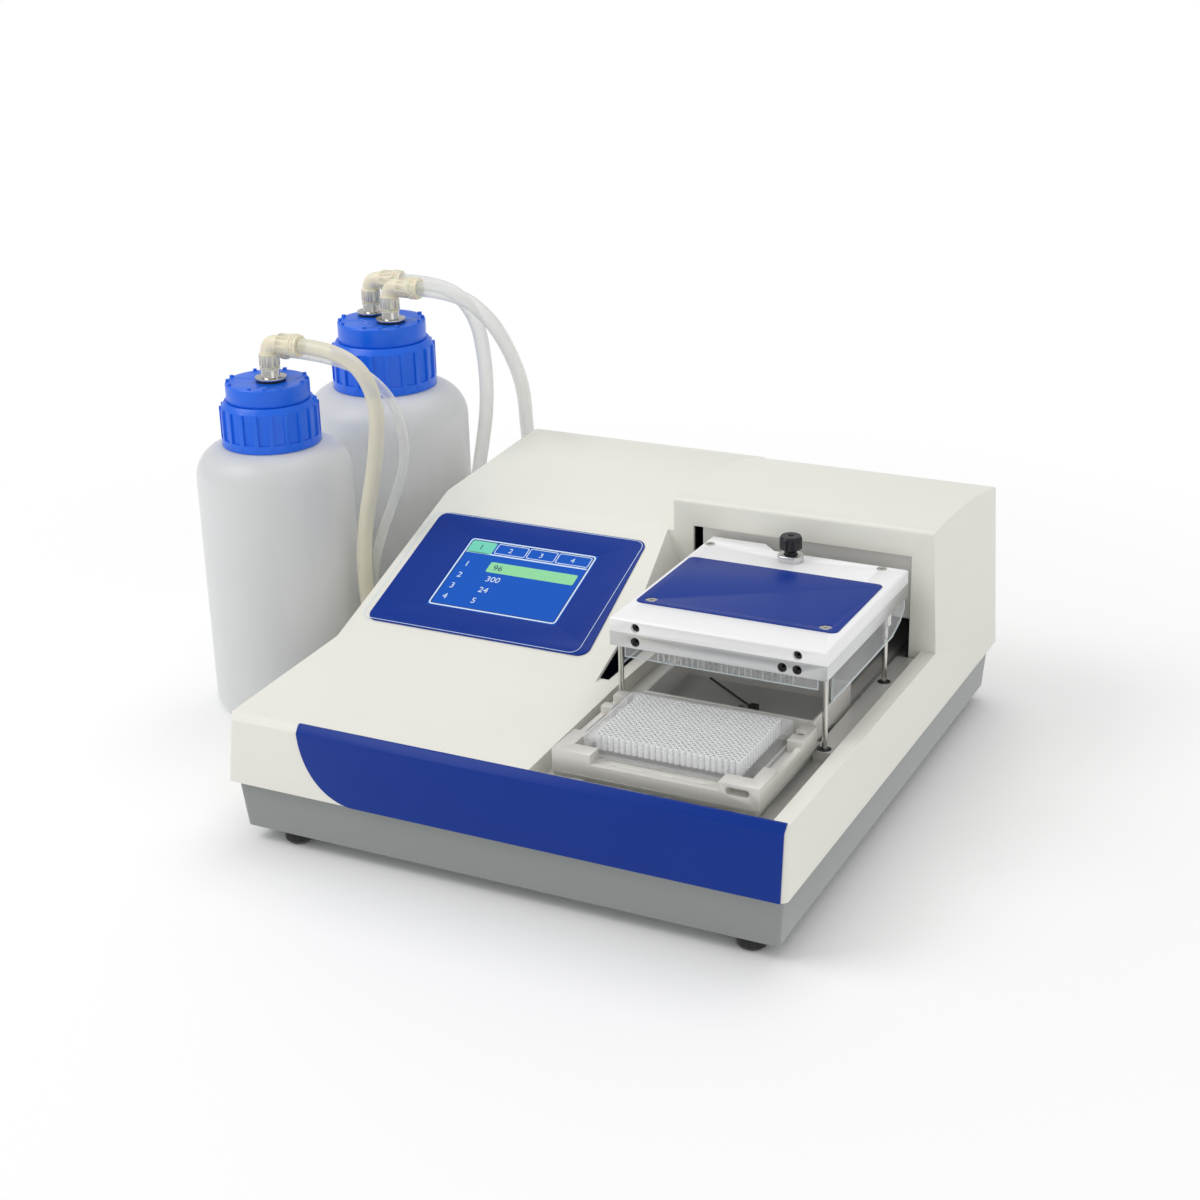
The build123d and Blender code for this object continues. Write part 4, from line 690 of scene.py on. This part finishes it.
class WASHER_OT_stage_set(bpy.types.Operator):
    """Pale floor, lamps and world light"""
    bl_idname = "washer.stage_set"
    bl_label = "Floor and light"

    def execute(self, context):
        nothing_selected()
        bpy.ops.mesh.primitive_plane_add(size=14.0, location=(0, 0, -0.0004))
        floor = context.object
        floor.name = "floor"
        material, tree, shader = surface("studio_floor", tone("FCFCFC"), 0.9)
        ray = node(tree, "ShaderNodeLightPath")
        seen = node(tree, "ShaderNodeMath", {0: ray.outputs["Is Glossy Ray"], 1: ray.outputs["Is Transmission Ray"]},
                    operation="MAXIMUM")
        glow = node(tree, "ShaderNodeEmission", {"Color": tone("FFFFFF"), "Strength": 1.0})
        place = node(tree, "ShaderNodeTexCoord")
        reach = node(tree, "ShaderNodeVectorMath", {0: place.outputs["Object"]}, operation="LENGTH")
        far = node(tree, "ShaderNodeMapRange", {0: reach.outputs["Value"], 1: 0.42, 2: 0.95},
                   interpolation_type="SMOOTHSTEP")
        white = node(tree, "ShaderNodeMath", {0: seen.outputs[0], 1: far.outputs[0]}, operation="MAXIMUM")
        mix = node(tree, "ShaderNodeMixShader", {0: white.outputs[0], 1: shader.outputs[0], 2: glow.outputs[0]})
        tree.links.new(mix.outputs[0], tree.nodes["Material Output"].inputs["Surface"])
        floor.data.materials.append(material)

        world = bpy.data.worlds.new("studio")
        context.scene.world = world
        world.use_nodes = True
        tree = world.node_tree
        tree.nodes.clear()
        ray = node(tree, "ShaderNodeLightPath")
        seen = node(tree, "ShaderNodeMath", {0: ray.outputs["Is Camera Ray"], 1: ray.outputs["Is Transmission Ray"]},
                    operation="MAXIMUM")
        level = node(tree, "ShaderNodeMapRange", {0: seen.outputs[0], 3: 0.62, 4: 1.0})
        back = node(tree, "ShaderNodeBackground", {"Color": tone("FFFFFF"), "Strength": level.outputs[0]})
        node(tree, "ShaderNodeOutputWorld", {"Surface": back.outputs[0]})

        for name, place, aim, size, power in (
                ("key", (-1.5, -1.2, 2.3), (0, 0, 0.05), 1.6, 26.0),
                ("top", (0.2, 0.9, 2.6), (0, 0, 0.1), 1.8, 16.0),
                ("fill", (2.4, -1.6, 1.2), (0.1, 0, 0.1), 1.6, 6.0)):
            data = bpy.data.lights.new(name, "AREA")
            data.size = size
            data.energy = power
            lamp = bpy.data.objects.new(name, data)
            context.scene.collection.objects.link(lamp)
            lamp.location = place
            lamp.rotation_euler = (Vector(aim) - Vector(place)).to_track_quat("-Z", "Y").to_euler()
        context.scene.view_settings.view_transform = "Standard"
        return {"FINISHED"}


STEPS = (WASHER_OT_camera, WASHER_OT_hoses, WASHER_OT_housing, WASHER_OT_display, WASHER_OT_wash_head,
         WASHER_OT_stage_table, WASHER_OT_bottles, WASHER_OT_fittings, WASHER_OT_rear_panel, WASHER_OT_stage_set)


class WASHER_PT_build(bpy.types.Panel):
    """Lists the steps that build the washer"""
    bl_idname = "WASHER_PT_build"
    bl_label = "Microplate washer"
    bl_space_type = "VIEW_3D"
    bl_region_type = "UI"
    bl_category = "Washer"

    def draw(self, context):
        for group in (context.scene.washer_sizes, context.scene.washer_colours):
            for key in group.bl_rna.properties.keys():
                if key not in ("rna_type", "name"):
                    self.layout.prop(group, key)
        for step in STEPS:
            self.layout.operator(step.bl_idname)


CLASSES = (WasherSizes, WasherColours, *STEPS, WASHER_PT_build)


def register():
    for entry in CLASSES:
        bpy.utils.register_class(entry)
    bpy.types.Scene.washer_sizes = PointerProperty(type=WasherSizes)
    bpy.types.Scene.washer_colours = PointerProperty(type=WasherColours)


def unregister():
    del bpy.types.Scene.washer_colours
    del bpy.types.Scene.washer_sizes
    for entry in reversed(CLASSES):
        bpy.utils.unregister_class(entry)


def main():
    register()
    finish.update(make_materials())
    for step in STEPS:
        group, name = step.bl_idname.split(".")
        getattr(getattr(bpy.ops, group), name)()


if __name__ == "__main__":
    main()
